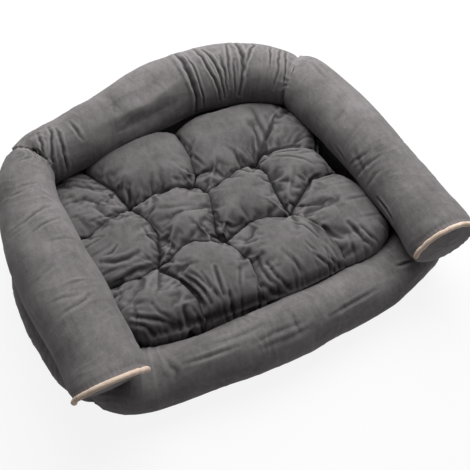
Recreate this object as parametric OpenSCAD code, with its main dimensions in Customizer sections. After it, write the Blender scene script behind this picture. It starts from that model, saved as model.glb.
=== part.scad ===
// Dog sofa bed: a low bolster ring, a taller roll round three sides and a loose tufted cushion.
// The frame stands on z = 0, with x to the right, y to the back and the middle of the plan at zero.

/* [Plan of the arms and the back] */
// Distance from the middle to the left back seam, at the middle of the roll
left_seam_x = 290; // [260:1:320]
// Distance from the middle to the right back seam
right_seam_x = 298; // [260:1:320]
// Distance from the middle back to both seams
seam_y = 206; // [180:1:230]
// Distance from the middle to the front end of the left arm
left_front_x = 296; // [270:1:330]
// Distance from the middle to the front end of the right arm
right_front_x = 328; // [270:1:350]
// Distance from the middle forward to the front ends of the arms
arm_front_y = 300; // [270:1:320]
// How far the left arm leans out as it leaves its front end
left_arm_flare = 18; // [0:1:40]
// How far the right arm leans out as it leaves its front end
right_arm_flare = 16; // [0:1:40]
// Length over which an arm holds the direction of its front end
arm_reach = 160; // [120:1:200]
// Length over which the left arm turns into its back seam
left_seam_reach = 96; // [90:1:130]
// Length over which the right arm turns into its back seam
right_seam_reach = 96; // [90:1:130]
// Length over which the back roll turns out of the left seam
back_left_reach = 100; // [90:1:130]
// Length over which the back roll turns out of the right seam, where it bows furthest
back_right_reach = 170; // [100:1:190]

/* [Roll sizes] */
// Width of the arms at their fullest
arm_w = 136; // [110:1:150]
// Height of the arms above the lower bolster
arm_h = 116; // [90:1:125]
// Width of the back roll at its fullest
back_w = 142; // [110:1:150]
// Height of the back roll above the lower bolster
back_h = 128; // [100:1:140]
// Width of the rolls where they are drawn in at the back seams
seam_w = 96; // [80:1:110]
// Height of the rolls where they are drawn in at the back seams
seam_h = 96; // [80:1:110]
// Width of the front ends of the arms
arm_end_w = 120; // [100:1:130]
// Angle by which the front ends of the arms overhang
end_lean = 20; // [0:1:30]

/* [Lower bolster] */
// Distance from the middle to the left front corner of the lower bolster
left_corner_x = 318; // [290:1:340]
// Distance from the middle to the right front corner of the lower bolster
right_corner_x = 322; // [290:1:350]
// Distance from the middle forward to the front corners
corner_y = 232; // [200:1:250]
// Distance by which the lower back corners lie inside the seams of the roll
back_inset = 16; // [5:1:30]
// Length over which the front bolster turns into its corners
front_reach = 110; // [105:1:125]
// Length over which the lower side walls turn into their corners
side_reach = 100; // [92:1:120]
// Length over which the lower back wall turns into its corners
lower_back_reach = 150; // [138:1:165]
// Width of the front bolster in the middle
front_w = 108; // [90:1:120]
// Height of the front bolster in the middle
front_h = 104; // [90:1:115]
// Width of the lower walls
lower_w = 100; // [80:1:110]
// Height of the lower walls, which carry the rolls
lower_h = 88; // [70:1:95]
// Width of the lower bolster where it is drawn in at its corners
corner_w = 88; // [70:1:92]

/* [Fabric] */
// Thickness of the covers
cover_t = 1.2; // [0.8:0.1:2]
// Thickness of the bottom panel
panel_t = 2.5; // [1.5:0.1:4]
// Thickness of the padding on the floor
padding_t = 6; // [3:0.5:12]
// Thickness of the lining over the padding
lining_t = 1; // [0.6:0.1:2]
// Width of the piping round the arm ends
piping_w = 9; // [6:0.5:12]
// Width of the cord inside the piping
piping_cord_w = 6; // [3:0.5:8]
// Angle that the piping covers, over the top of the end
piping_angle = 196; // [160:1:210]
// Thickness of the panels in the arm ends
end_panel_t = 2.5; // [1.5:0.1:4]

/* [Cushion] */
// Height of the cushion at the top of its crowned lobes, from its underside
cushion_h = 128; // [100:1:135]
// Height of the valleys between two tufts
valley_h = 92; // [75:1:98]
// Height left at the tufts
tuft_h = 66; // [45:1:74]
// Distance between tufts from left to right
tuft_dx = 140; // [110:1:150]
// Distance between tufts from front to back
tuft_dy = 156; // [120:1:160]
// Place of the middle tuft to the left of the middle of the bed
tuft_left = 8; // [-20:1:30]
// Place of the tufts in front of the middle of the bed
tuft_front = 16; // [8:1:40]
// How far the edges of the lobes rise above their corners
rim_rise = 12; // [4:1:20]
// Top of the upright band round the sides
band_top_h = 56; // [45:1:62]
// Bottom of the upright band round the sides
band_low_h = 30; // [12:1:36]
// How far the underside is drawn in from the band
under_draw = 22; // [5:1:30]
// How far the top edge is drawn in from the band
edge_draw = 9; // [2:1:15]
// Gap between the cushion and the rolls and bolster round it
cushion_clear = 5; // [2:0.5:12]

/* [Tuft stitches] */
// Width of the stitched knot on a tuft
knot_w = 6; // [3:0.5:10]
// Height of the knot
knot_h = 2; // [1:0.5:4]
// Width of the thread that holds a tuft down
thread_w = 2; // [1:0.5:3]

/* [Cushion zip] */
// Length of the zip in the back of the cushion
zip_l = 300; // [200:5:320]
// How far the tape laps over the edges of the opening that it closes
tape_lap = 3; // [1:0.5:5]
// Thickness of the tape
tape_t = 0.8; // [0.5:0.1:1.5]
// Height of a tooth, across the zip
tooth_h = 4; // [3:0.5:6]
// Length of a tooth, along the zip
tooth_l = 1.6; // [1:0.1:2.2]
// Distance from one tooth to the next
tooth_pitch = 4; // [3:0.5:6]
// Thickness of the teeth
tooth_t = 1.2; // [0.8:0.1:2]
// Length of the slider
slider_l = 11; // [8:0.5:14]
// Thickness of the slider's plate and of its ears
slider_t = 1.2; // [1:0.1:1.6]
// Width of the pin that holds the puller
pin_w = 1.4; // [1:0.1:1.8]
// Length of the puller from its pin to its tip
puller_l = 15; // [10:1:16]
// Height of the puller
puller_h = 6; // [5:0.5:7]
// Thickness of the puller's blade
puller_t = 1; // [0.8:0.1:1.4]

/* [Hidden] */

grey = [0.25, 0.25, 0.26];
dark = [0.13, 0.13, 0.14];
beige = [0.78, 0.68, 0.55];
white = [0.92, 0.92, 0.90];
metal = [0.60, 0.60, 0.62];

// Gap between soft pieces that lie against each other
fit = 0.3;
// Gap between a flat face and what it rests on
seat = 0.2;
// Running gap round the pin and under the slider
run = 0.15;
// Share of a roll's height that is pressed flat where it rests
flat_share = 0.04;

lower_z = panel_t + seat;
padding_z = panel_t + seat;
lining_z = padding_z + padding_t;
roll_z = lower_z + lower_h + fit;
cushion_z = lining_z + lining_t + fit;

// Widths and heights along a wall, as shares of its fullest size on top of its size at the ends
front_width_shares = [0, 0.35, 0.75, 0.9, 1, 1, 0.95, 0.8, 0.4, 0];
front_height_shares = [0, 0, 0.1, 0.8, 1, 1, 0.8, 0.1, 0, 0];
front_flat_shares = [1, 1, 0.2, 0, 0, 0, 0, 0.2, 1, 1];
lower_width_shares = [0, 0.9, 1, 1, 1, 0.9, 0];
level_shares = [1, 1];
// The arms swell in two lobes and narrow at the cross creases between them
right_arm_width_shares = [0, 0, -0.05, -0.1, 0.1, 0.5, 0.8, 0.9, 0.5, 0];
left_arm_width_shares = [0, 0.55, 0.8, 0.9, 1, 1, 0.9, 0.5, 0.2, 0];
arm_height_shares = [0, 0.6, 0.9, 1, 1, 1, 1, 0.9, 0.5, 0];
// The back roll is slimmest to the left and fullest behind the right lobes
back_width_shares = [0, 0.75, 1, 1, 0.95, 0.85, 0.6, 0.5, 0.35, 0];
back_height_shares = [0, 0.75, 1, 1, 0.95, 0.85, 0.65, 0.5, 0.35, 0];

// Rings along a wall and sides round it
long_rings = 13;
short_rings = 11;
roll_sides = 12;
lower_sides = 10;

// A cubic curve through four control points, and its heading in degrees
function curve(p, s) = pow(1 - s, 3) * p[0] + 3 * pow(1 - s, 2) * s * p[1]
    + 3 * (1 - s) * s * s * p[2] + pow(s, 3) * p[3];
function curve_run(p, s) = pow(1 - s, 2) * (p[1] - p[0]) + 2 * (1 - s) * s * (p[2] - p[1])
    + s * s * (p[3] - p[2]);
function heading(p, s) = let (d = curve_run(p, s)) atan2(d[1], d[0]);
function forward(angle) = [cos(angle), sin(angle)];
function outward(angle) = [sin(angle), -cos(angle)];

// A value read off an evenly spaced list
function along(list, s) = let (
    place = min(s, 1) * (len(list) - 1),
    i = min(floor(place), len(list) - 2)
) list[i] + (place - i) * (list[i + 1] - list[i]);
function fade(s) = s >= 1 ? 0 : pow(cos(90 * s), 2);

// A path from seam to seam leaves each end square to the seam, half a gap short of it
function seam_path(a, b, angle_a, angle_b, reach_a, reach_b) = [
    a + fit / 2 * forward(angle_a),
    a + reach_a * forward(angle_a),
    b - reach_b * forward(angle_b),
    b - fit / 2 * forward(angle_b)
];

// The walls run anticlockwise seen from above, so that their right side is the outside
left_seam = [-left_seam_x, seam_y];
right_seam = [right_seam_x, seam_y];
left_front = [-left_front_x, -arm_front_y];
right_front = [right_front_x, -arm_front_y];
left_corner = [-left_corner_x, -corner_y];
right_corner = [right_corner_x, -corner_y];
left_back_corner = left_seam + back_inset * [1, -1];
right_back_corner = right_seam - back_inset * [1, 1];

right_arm_path = [
    right_front,
    right_front + [right_arm_flare, arm_reach],
    right_seam - right_seam_reach * forward(135),
    right_seam - fit / 2 * forward(135)
];
back_path = seam_path(right_seam, left_seam, 135, 225, back_right_reach, back_left_reach);
left_arm_path = [
    left_seam + fit / 2 * forward(225),
    left_seam + left_seam_reach * forward(225),
    left_front + [-left_arm_flare, arm_reach],
    left_front
];
front_path = seam_path(left_corner, right_corner, -45, 45, front_reach, front_reach);
right_lower_path = seam_path(right_corner, right_back_corner, 45, 135, side_reach, side_reach);
back_lower_path = seam_path(right_back_corner, left_back_corner, 135, 225,
    lower_back_reach, lower_back_reach);
left_lower_path = seam_path(left_back_corner, left_corner, 225, 315, side_reach, side_reach);

// The fields of a wall, in order
path = 0;
end_widths = 1;
end_heights = 2;
full_size = 3;
widths = 4;
heights = 5;
flats = 6;
leans = 7;
level = 8;
ring_count = 9;
side_count = 10;

right_arm = [right_arm_path, [arm_end_w, seam_w], [arm_h, seam_h], [arm_w, arm_h],
    right_arm_width_shares, arm_height_shares, [0, 0], [end_lean, 0], roll_z,
    long_rings, roll_sides];
back_roll = [back_path, [seam_w, seam_w], [seam_h, seam_h], [back_w, back_h],
    back_width_shares, back_height_shares, [0, 0], [0, 0], roll_z, long_rings, roll_sides];
left_arm = [left_arm_path, [seam_w, arm_end_w], [seam_h, arm_h], [arm_w, arm_h],
    left_arm_width_shares, arm_height_shares, [0, 0], [0, end_lean], roll_z,
    long_rings, roll_sides];
front_bolster = [front_path, [corner_w, corner_w], [lower_h, lower_h], [front_w, front_h],
    front_width_shares, front_height_shares, front_flat_shares, [0, 0], lower_z,
    long_rings, roll_sides];
function lower_wall(wall_path) = [wall_path, [corner_w, corner_w], [lower_h, lower_h],
    [lower_w, lower_h], lower_width_shares, level_shares, level_shares, [0, 0], lower_z,
    short_rings, lower_sides];
right_lower_wall = lower_wall(right_lower_path);
back_lower_wall = lower_wall(back_lower_path);
left_lower_wall = lower_wall(left_lower_path);

// Half width and height of a wall at a share of its length
function half_width(wall, s) = let (end = along(wall[end_widths], s))
    (end + (wall[full_size][0] - end) * along(wall[widths], s)) / 2;
function wall_height(wall, s) = let (end = along(wall[end_heights], s))
    end + (wall[full_size][1] - end) * along(wall[heights], s);
// The first and last ring of an arm lean by the overhang of its end, which fades along the arm
lean_fade_share = 0.35;
function lean(wall, s) = wall[leans][1] * fade((1 - s) / lean_fade_share)
    - wall[leans][0] * fade(s / lean_fade_share);

// One ring: an ellipse pressed flat underneath and, where it carries a roll, on top
function ring(wall, s, inset) = let (
    angle = heading(wall[path], s),
    middle = curve(wall[path], s),
    h = wall_height(wall, s),
    full = h * (1 + flat_share + flat_share * along(wall[flats], s)) / 2,
    mid_z = wall[level] + full - h * flat_share,
    tilt = lean(wall, s),
    low = (wall[level] + inset - mid_z) / cos(tilt),
    high = (wall[level] + h - inset - mid_z) / cos(tilt),
    reach = 1 / cos(180 / wall[side_count])
) [for (k = [0 : wall[side_count] - 1]) let (
    turn = 360 * (k + 0.5) / wall[side_count],
    side = (half_width(wall, s) - inset) * reach * cos(turn),
    rise = max(low, min(high, (full - inset) * reach * sin(turn))),
    plan = middle + side * outward(angle) + rise * sin(tilt) * forward(angle)
) [plan[0], plan[1], mid_z + rise * cos(tilt)]];

function rings(wall, inset) = let (last = wall[ring_count] - 1)
    [for (i = [0 : last]) each ring(wall, i / last, inset)];

// Triangles between each ring and the next, seen from outside, and the same for the rims and caps
function side_faces(n, m, first) = [for (i = [0 : n - 2], k = [0 : m - 1]) let (
    a = first + i * m + k,
    b = first + i * m + (k + 1) % m
) each [[a, b, b + m], [a, b + m, a + m]]];
function rim_faces(m, outer, inner) = [for (k = [0 : m - 1]) let (
    next = (k + 1) % m
) each [[outer + next, outer + k, inner + k], [outer + next, inner + k, inner + next]]];
function cap_faces(m, first) = [for (k = [1 : m - 2]) [first, first + k + 1, first + k]];
function reversed(faces) = [for (f = faces) [f[2], f[1], f[0]]];

module wall_cover(wall) {
    n = wall[ring_count];
    m = wall[side_count];
    inner = n * m;
    last = (n - 1) * m;
    faces = concat(
        side_faces(n, m, 0),
        reversed(side_faces(n, m, inner)),
        rim_faces(m, 0, inner),
        reversed(rim_faces(m, last, inner + last))
    );
    color(grey) polyhedron(concat(rings(wall, 0), rings(wall, cover_t)), faces, convexity = 10);
}

module wall_filling(wall) {
    n = wall[ring_count];
    m = wall[side_count];
    faces = concat(
        side_faces(n, m, 0),
        cap_faces(m, 0),
        reversed(cap_faces(m, (n - 1) * m))
    );
    color(white) polyhedron(rings(wall, cover_t + fit), faces, convexity = 10);
}

// Outline of the lower walls, moved outwards from their middle by a share of their half width
lower_walls = [front_bolster, right_lower_wall, back_lower_wall, left_lower_wall];
outline_steps = 12;
panel_reach_share = 0.62;
floor_reach_share = -0.72;
function lower_outline(share) = [for (wall = lower_walls, i = [0 : outline_steps - 1]) let (
    s = (i + 0.5) / outline_steps
) curve(wall[path], s) + share * half_width(wall, s) * outward(heading(wall[path], s))];

module sheet(z, t, share) {
    translate([0, 0, z]) linear_extrude(t) polygon(lower_outline(share));
}

// The panel ends where the walls curve up from it, and the floor lies between the walls
module bottom_panel() {
    color(dark) sheet(0, panel_t, panel_reach_share);
}

module floor_padding() {
    color(white) sheet(padding_z, padding_t, floor_reach_share);
}

module floor_lining() {
    color(grey) sheet(lining_z, lining_t, floor_reach_share);
}

// The frame of an arm end lies in its leaning face, with -y out of the arm
end_r = arm_end_w / 2;
end_mid_z = roll_z + arm_h * (1 - flat_share) / 2;
module at_arm_end(front, outward_angle) {
    translate([front[0], front[1], end_mid_z])
        rotate([0, 0, outward_angle + 90])
        rotate([end_lean, 0, 0])
        children();
}
module at_left_end() {
    at_arm_end(left_front, heading(left_arm_path, 1)) children();
}
module at_right_end() {
    at_arm_end(right_front, heading(right_arm_path, 0) + 180) children();
}

// The piping lies against the cover's rim, and the panel fills the ring that it makes
piping_r = end_r - cover_t / 2;
piping_y = -fit - piping_w / 2;
panel_r = piping_r - piping_w / 2 - fit;
module end_panel() {
    color(dark) translate([0, -fit, 0]) rotate([90, 0, 0])
        cylinder(h = end_panel_t, r = panel_r, $fn = 96);
}

module piping_arc() {
    translate([0, piping_y, 0])
        rotate([90, 0, 0])
        rotate([0, 0, 90 - piping_angle / 2])
        rotate_extrude(angle = piping_angle, $fn = 96)
        translate([piping_r, 0])
        children();
}

module piping() {
    color(beige) piping_arc() difference() {
        circle(d = piping_w, $fn = 32);
        circle(d = piping_cord_w + 2 * fit, $fn = 32);
    }
}

module piping_cord() {
    color(white) piping_arc() circle(d = piping_cord_w, $fn = 32);
}

// The puller's eye turns on its pin in front of the slider's plate
eye_w = pin_w + 2 * run + 2 * puller_t;
tooth_y = tape_t;
plate_y = tooth_y + tooth_t + run;
pin_y = plate_y + slider_t + run + eye_w / 2;
zip_depth = fit + pin_y + eye_w / 2;

// The cushion fills the plan that the rolls leave open, less a gap and the depth of its zip
side_samples = [0 : 0.05 : 0.8];
middle_samples = [0.3 : 0.05 : 0.7];
back_samples = [0.2 : 0.05 : 0.8];
cushion_right = min([for (s = side_samples)
    curve(right_arm_path, s)[0] - half_width(right_arm, s)]) - cushion_clear;
cushion_left = max([for (s = side_samples)
    curve(left_arm_path, 1 - s)[0] + half_width(left_arm, 1 - s)]) + cushion_clear;
cushion_front = max([for (s = middle_samples)
    curve(front_path, s)[1] + half_width(front_bolster, s)]) + cushion_clear;
cushion_back = min([for (s = back_samples)
    curve(back_path, s)[1] - half_width(back_roll, s)]) - cushion_clear - zip_depth;
cushion_middle = [cushion_left + cushion_right, cushion_front + cushion_back] / 2;
cushion_half = [cushion_right - cushion_left, cushion_back - cushion_front] / 2;

// Lobes lie between the tufts, each with the same number of cells
tuft_xs = [for (i = [-1 : 1]) i * tuft_dx - tuft_left];
tuft_ys = [for (i = [-0.5, 0.5]) i * tuft_dy - tuft_front];
lobe_xs = concat([cushion_left], tuft_xs, [cushion_right]);
lobe_ys = concat([cushion_front], tuft_ys, [cushion_back]);
lobe_cells = 5;
lobe_columns = len(lobe_xs) - 1;
lobe_rows = len(lobe_ys) - 1;
columns = lobe_cells * lobe_columns;
rows = lobe_cells * lobe_rows;
corner_share = 0.1;
corner_power = 8;
edge_power = 7;
puff_power = 0.6;
slope_share = 1.6;
// Swell of each lobe, row by row from the front: the middle pads are the flattest
lobe_swell_shares = [[0.75, 1, 1, 0.9], [0.6, 0.65, 0.7, 0.95], [0.65, 1, 1, 0.95]];
// The cells of an outer lobe get narrow at its edge
outer_place_shares = [0, 0.06, 0.3, 0.55, 0.8, 1];
outer_swell_shares = [0, 0.6, 0.95, 1, 0.7, 0];

// The lobe and the cell in it, read from a list for an outer lobe, counted in from the edge
function lobe_of(i, lobes) = min(floor(i / lobe_cells), lobes - 1);
function outer_cell(i, lobes) = let (lobe = lobe_of(i, lobes), k = i - lobe * lobe_cells)
    lobe == 0 ? k : lobe == lobes - 1 ? lobe_cells - k : undef;
function lobe_place(i, lobes) = let (lobe = lobe_of(i, lobes), k = outer_cell(i, lobes))
    lobe + (is_undef(k) ? i / lobe_cells - lobe
        : lobe == 0 ? outer_place_shares[k] : 1 - outer_place_shares[k]);
function swell(i, lobes) = let (k = outer_cell(i, lobes))
    is_undef(k) ? sin(180 * (i % lobe_cells) / lobe_cells) : outer_swell_shares[k];

// How far the arms and the front bolster leave the plan open beyond its straight sides
function inner_side(wall, s) = curve(wall[path], s)
    - half_width(wall, s) * outward(heading(wall[path], s));
function side_places(wall) = [for (s = [0 : 0.05 : 1]) let (p = inner_side(wall, s)) [p[1], p[0]]];
right_places = side_places(right_arm);
left_places = side_places(left_arm);
front_places = [for (s = [0 : 0.05 : 1]) inner_side(front_bolster, s)];
function beyond(place, tuft, edge) = max(0, (place - tuft) / (edge - tuft));
function bow(x, y) = [
    beyond(x, tuft_xs[2], cushion_right)
        * max(0, lookup(y, right_places) - cushion_clear - cushion_right)
    - beyond(x, tuft_xs[0], cushion_left)
        * max(0, cushion_left - lookup(y, left_places) - cushion_clear),
    -beyond(y, tuft_ys[0], cushion_front)
        * max(0, cushion_front - lookup(x, front_places) - cushion_clear)
];

// A grid place in plan, drawn in towards the edges, rounded at the corners and bowed to the walls
function cushion_plan(i, j, inset) = let (
    x = along(lobe_xs, lobe_place(i, lobe_columns) / lobe_columns),
    y = along(lobe_ys, lobe_place(j, lobe_rows) / lobe_rows),
    u = (x - cushion_middle[0]) / cushion_half[0],
    v = (y - cushion_middle[1]) / cushion_half[1],
    drawn = [x, y] - cushion_middle
        - inset * [sign(u) * pow(abs(u), edge_power), sign(v) * pow(abs(v), edge_power)]
) cushion_middle + (1 - corner_share * pow(abs(u * v), corner_power)) * drawn + bow(x, y);

// Each lobe swells from the valleys round it, and the valleys dip to the tufts
function on_edge(i, j) = i == 0 || i == columns || j == 0 || j == rows;
function cushion_top(i, j) = let (
    x = swell(i, lobe_columns),
    y = swell(j, lobe_rows),
    share = lobe_swell_shares[lobe_of(j, lobe_rows)][lobe_of(i, lobe_columns)]
) tuft_h + (on_edge(i, j) ? rim_rise : valley_h - tuft_h) * max(x, y)
    + share * (cushion_h - valley_h) * pow(x * y, puff_power);

// The grid places round the edge, anticlockwise from the front left corner
edge_places = concat(
    [for (i = [0 : columns - 1]) [i, 0]],
    [for (j = [0 : rows - 1]) [columns, j]],
    [for (i = [columns : -1 : 1]) [i, rows]],
    [for (j = [rows : -1 : 1]) [0, j]]
);
edge_count = len(edge_places);
grid_count = (columns + 1) * (rows + 1);
function grid_index(i, j) = j * (columns + 1) + i;
function edge_loop(inset, z) = [for (p = edge_places) let (
    plan = cushion_plan(p[0], p[1], inset)
) [plan[0], plan[1], z]];

// The top grid, three loops down the sides and the middle of the underside
function cushion_points(inset) = concat(
    [for (j = [0 : rows], i = [0 : columns]) let (
        plan = cushion_plan(i, j, inset + edge_draw)
    ) [plan[0], plan[1], cushion_z + cushion_top(i, j) - slope_share * inset]],
    edge_loop(inset, cushion_z + band_top_h - inset / 2),
    edge_loop(inset, cushion_z + band_low_h + inset / 2),
    edge_loop(inset + under_draw, cushion_z + inset),
    [[cushion_middle[0], cushion_middle[1], cushion_z + inset]]
);

// Point numbers round the edge of the top grid and round each loop below it
top_edge = [for (p = edge_places) grid_index(p[0], p[1])];
function loop_edge(n) = [for (k = [0 : edge_count - 1]) grid_count + n * edge_count + k];
function band_faces(upper, lower, slit) = [for (k = [0 : edge_count - 1]) let (
    next = (k + 1) % edge_count
) if (!(slit && in_slit(k))) each [
    [upper[k], upper[next], lower[next]],
    [upper[k], lower[next], lower[k]]
]];
function cushion_faces(slit) = let (middle = grid_count + 3 * edge_count) concat(
    [for (j = [0 : rows - 1], i = [0 : columns - 1]) each [
        [grid_index(i, j), grid_index(i, j + 1), grid_index(i + 1, j + 1)],
        [grid_index(i, j), grid_index(i + 1, j + 1), grid_index(i + 1, j)]
    ]],
    band_faces(top_edge, loop_edge(0), false),
    band_faces(loop_edge(0), loop_edge(1), slit),
    band_faces(loop_edge(1), loop_edge(2), false),
    [for (k = [0 : edge_count - 1]) [middle, loop_edge(2)[k], loop_edge(2)[(k + 1) % edge_count]]]
);

// The cover is open behind the zip, between these places on the back of the upright band
slit_first = columns + rows + lobe_cells;
slit_last = columns + rows + columns - lobe_cells - 1;
function in_slit(k) = k >= slit_first && k < slit_last;
function cover_faces(shift) = [for (f = cushion_faces(true)) f + shift * [1, 1, 1]];
slit_loop = let (upper = loop_edge(0), lower = loop_edge(1)) concat(
    [for (k = [slit_first : slit_last]) upper[k]],
    [for (k = [slit_last : -1 : slit_first]) lower[k]]
);
function slit_faces(inner) = [for (k = [0 : len(slit_loop) - 1]) let (
    a = slit_loop[k],
    b = slit_loop[(k + 1) % len(slit_loop)]
) each [[a, b, inner + b], [a, inner + b, inner + a]]];

module cushion_cover() {
    outer = cushion_points(0);
    inner = len(outer);
    color(grey) polyhedron(
        concat(outer, cushion_points(cover_t)),
        concat(cover_faces(0), reversed(cover_faces(inner)), slit_faces(inner)),
        convexity = 10
    );
}

module cushion_filling() {
    color(white) polyhedron(cushion_points(cover_t + fit), cushion_faces(false), convexity = 10);
}

// A thread down through each tuft, with its knot on top
module cushion_tuft_stitches() {
    color(dark) for (x = tuft_xs, y = tuft_ys) {
        translate([x, y, cushion_z + cover_t]) {
            cylinder(h = tuft_h - cover_t, d = thread_w, $fn = 24);
            translate([0, 0, tuft_h - cover_t]) cylinder(h = knot_h, d = knot_w, $fn = 24);
        }
    }
}

// The frame of the zip lies on the upright band at the back, with y out of the cushion
zip_z = cushion_z + (band_top_h + band_low_h) / 2;
module at_zip() {
    translate([cushion_middle[0], cushion_back + fit, zip_z]) children();
}

tape_h = band_top_h - band_low_h + 2 * tape_lap;
module cushion_zip_tape() {
    tape_l = zip_l + tape_h;
    color(dark) at_zip() translate([-tape_l / 2, 0, -tape_h / 2]) cube([tape_l, tape_t, tape_h]);
}

tooth_count = floor((zip_l - 2 * tooth_l) / tooth_pitch);
module cushion_zip_teeth() {
    color(dark) at_zip() for (i = [0 : tooth_count - 1]) {
        x = (i - (tooth_count - 1) / 2) * tooth_pitch;
        translate([x - tooth_l / 2, tooth_y, -tooth_h / 2]) cube([tooth_l, tooth_t, tooth_h]);
    }
}

// The stops are as tall as the slider, which rests closed against the right one
slider_h = tooth_h + 2 * run + 2 * slider_t;
stop_x = zip_l / 2 + tooth_l;
slider_x = stop_x - tooth_l / 2 - run - slider_l / 2;
module cushion_zip_stops() {
    color(metal) at_zip() for (side = [-1, 1]) {
        translate([side * stop_x - tooth_l / 2, tooth_y, -slider_h / 2])
            cube([tooth_l, tooth_t + run + slider_t, slider_h]);
    }
}

// A plate over the teeth, a lip along each side of them, and two ears that hold the pin
ear_gap = puller_h / 2;
ear_z = (ear_gap + slider_t) / 2;
lip_z = (slider_h - slider_t) / 2;
module slider_bar(l, y, h, z) {
    translate([-l / 2, y, z - slider_t / 2]) cube([l, h, slider_t]);
}
module cushion_zip_slider() {
    color(metal) at_zip() translate([slider_x, 0, 0]) {
        translate([-slider_l / 2, plate_y, -slider_h / 2]) cube([slider_l, slider_t, slider_h]);
        for (side = [-1, 1]) {
            slider_bar(slider_l, tooth_y + run, tooth_t, side * lip_z);
            slider_bar(2 * pin_w, plate_y, pin_y + pin_w - plate_y, side * ear_z);
        }
        translate([0, pin_y, -ear_z]) cylinder(h = 2 * ear_z, d = pin_w, $fn = 32);
    }
}

// The puller lies along the zip, to the left of its pin
module cushion_zip_puller() {
    eye_h = ear_gap - 2 * run;
    blade_l = puller_l - eye_w;
    color(metal) at_zip() translate([slider_x, pin_y, 0]) difference() {
        union() {
            translate([0, 0, -eye_h / 2]) cylinder(h = eye_h, d = eye_w, $fn = 32);
            translate([-eye_w, -puller_t / 2, -eye_h / 2]) cube([eye_w, puller_t, eye_h]);
            translate([-puller_l, -puller_t / 2, -puller_h / 2]) cube([blade_l, puller_t, puller_h]);
        }
        translate([0, 0, -eye_h]) cylinder(h = 2 * eye_h, d = pin_w + 2 * run, $fn = 32);
    }
}

bottom_panel();
floor_padding();
floor_lining();
wall_cover(front_bolster);  // front_bolster_cover
wall_filling(front_bolster);  // front_bolster_filling
wall_cover(right_lower_wall);  // right_lower_wall_cover
wall_filling(right_lower_wall);  // right_lower_wall_filling
wall_cover(back_lower_wall);  // back_lower_wall_cover
wall_filling(back_lower_wall);  // back_lower_wall_filling
wall_cover(left_lower_wall);  // left_lower_wall_cover
wall_filling(left_lower_wall);  // left_lower_wall_filling
wall_cover(right_arm);  // right_arm_cover
wall_filling(right_arm);  // right_arm_filling
wall_cover(back_roll);  // back_roll_cover
wall_filling(back_roll);  // back_roll_filling
wall_cover(left_arm);  // left_arm_cover
wall_filling(left_arm);  // left_arm_filling
at_left_end() end_panel();  // left_arm_end_panel
at_right_end() end_panel();  // right_arm_end_panel
at_left_end() piping();  // left_arm_piping
at_right_end() piping();  // right_arm_piping
at_left_end() piping_cord();  // left_arm_piping_cord
at_right_end() piping_cord();  // right_arm_piping_cord
cushion_cover();
cushion_filling();
cushion_tuft_stitches();
cushion_zip_tape();
cushion_zip_teeth();
cushion_zip_stops();
cushion_zip_slider();
cushion_zip_puller();
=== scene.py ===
"""Looks of the dog sofa bed: covers, cushion, piping, zip, linings, camera and light."""

import math

import bpy
import numpy as np
from mathutils import Matrix, Vector


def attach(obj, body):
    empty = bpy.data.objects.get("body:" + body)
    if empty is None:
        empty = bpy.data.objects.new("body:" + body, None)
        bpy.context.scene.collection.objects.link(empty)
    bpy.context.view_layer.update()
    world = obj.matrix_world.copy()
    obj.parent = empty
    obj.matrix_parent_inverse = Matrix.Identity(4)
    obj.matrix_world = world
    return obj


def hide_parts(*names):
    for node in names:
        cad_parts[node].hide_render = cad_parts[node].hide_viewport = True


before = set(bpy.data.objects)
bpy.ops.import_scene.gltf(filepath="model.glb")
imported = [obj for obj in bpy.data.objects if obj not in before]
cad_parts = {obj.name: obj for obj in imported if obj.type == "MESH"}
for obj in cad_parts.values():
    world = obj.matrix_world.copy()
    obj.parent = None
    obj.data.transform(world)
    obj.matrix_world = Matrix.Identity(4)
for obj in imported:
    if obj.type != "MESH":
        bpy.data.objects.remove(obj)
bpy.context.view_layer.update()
scene = bpy.context.scene
TAU = 2 * math.pi


def add_object(name, data, place=(0, 0, 0), back=None):
    """A new object in the scene, its Z axis turned along back where that is given."""
    obj = bpy.data.objects.new(name, data)
    scene.collection.objects.link(obj)
    obj.location = place
    if back is not None:
        obj.rotation_euler = back.to_track_quat("Z", "Y").to_euler()
    return obj


# Camera at the photograph's angle, from the front left and above
camera_azimuth = math.radians(-25.1)
camera_elevation = math.radians(53.3)
camera_distance = 1.15
camera_target = Vector((0.011, -0.094, 0.100))
flat_part = math.cos(camera_elevation)
towards_camera = Vector(
    (math.sin(camera_azimuth) * flat_part, -math.cos(camera_azimuth) * flat_part, math.sin(camera_elevation))
)
camera_place = camera_target + towards_camera * camera_distance
camera = add_object("camera", bpy.data.cameras.new("camera"), camera_place, towards_camera)
camera.data.lens = 46.27
camera.data.sensor_width = 36
scene.camera = camera
scene.view_settings.view_transform = "Standard"

# Courses and sizes of the rolls and walls, in metres. They come from the solids, moved where the
# photograph shows another course.
left_seam = np.array([-0.290, 0.206])
right_seam = np.array([0.298, 0.206])
left_front = np.array([-0.296, -0.300])
right_front = np.array([0.328, -0.300])
left_corner = np.array([-0.305, -0.243])
right_corner = np.array([0.343, -0.227])
back_inset = 0.016
left_back_corner = left_seam + back_inset * np.array([1, -1])
right_back_corner = right_seam - back_inset * np.array([1, 1])
arm_reach = 0.160
left_arm_flare = 0.003
right_arm_flare = 0.010
left_seam_reach = 0.064
right_seam_reach = 0.066
back_left_reach = 0.056
back_right_reach = 0.212
back_right_move = np.array([0, 0.062])
back_left_move = np.array([0, -0.078])
left_arm_move = np.array([-0.034, 0])
left_arm_end_move = np.array([-0.014, 0])
front_reaches = (0.110, 0.110)
right_side_reaches = (0.100, 0.100)
left_side_reaches = (0.180, 0.070)
lower_back_reaches = (0.150, 0.150)
lower_z = 0.0027
roll_z = 0.091
flat_share = 0.04
left_end_lean = math.radians(20)
right_end_lean = math.radians(4)
lean_fade_share = 0.35


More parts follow.
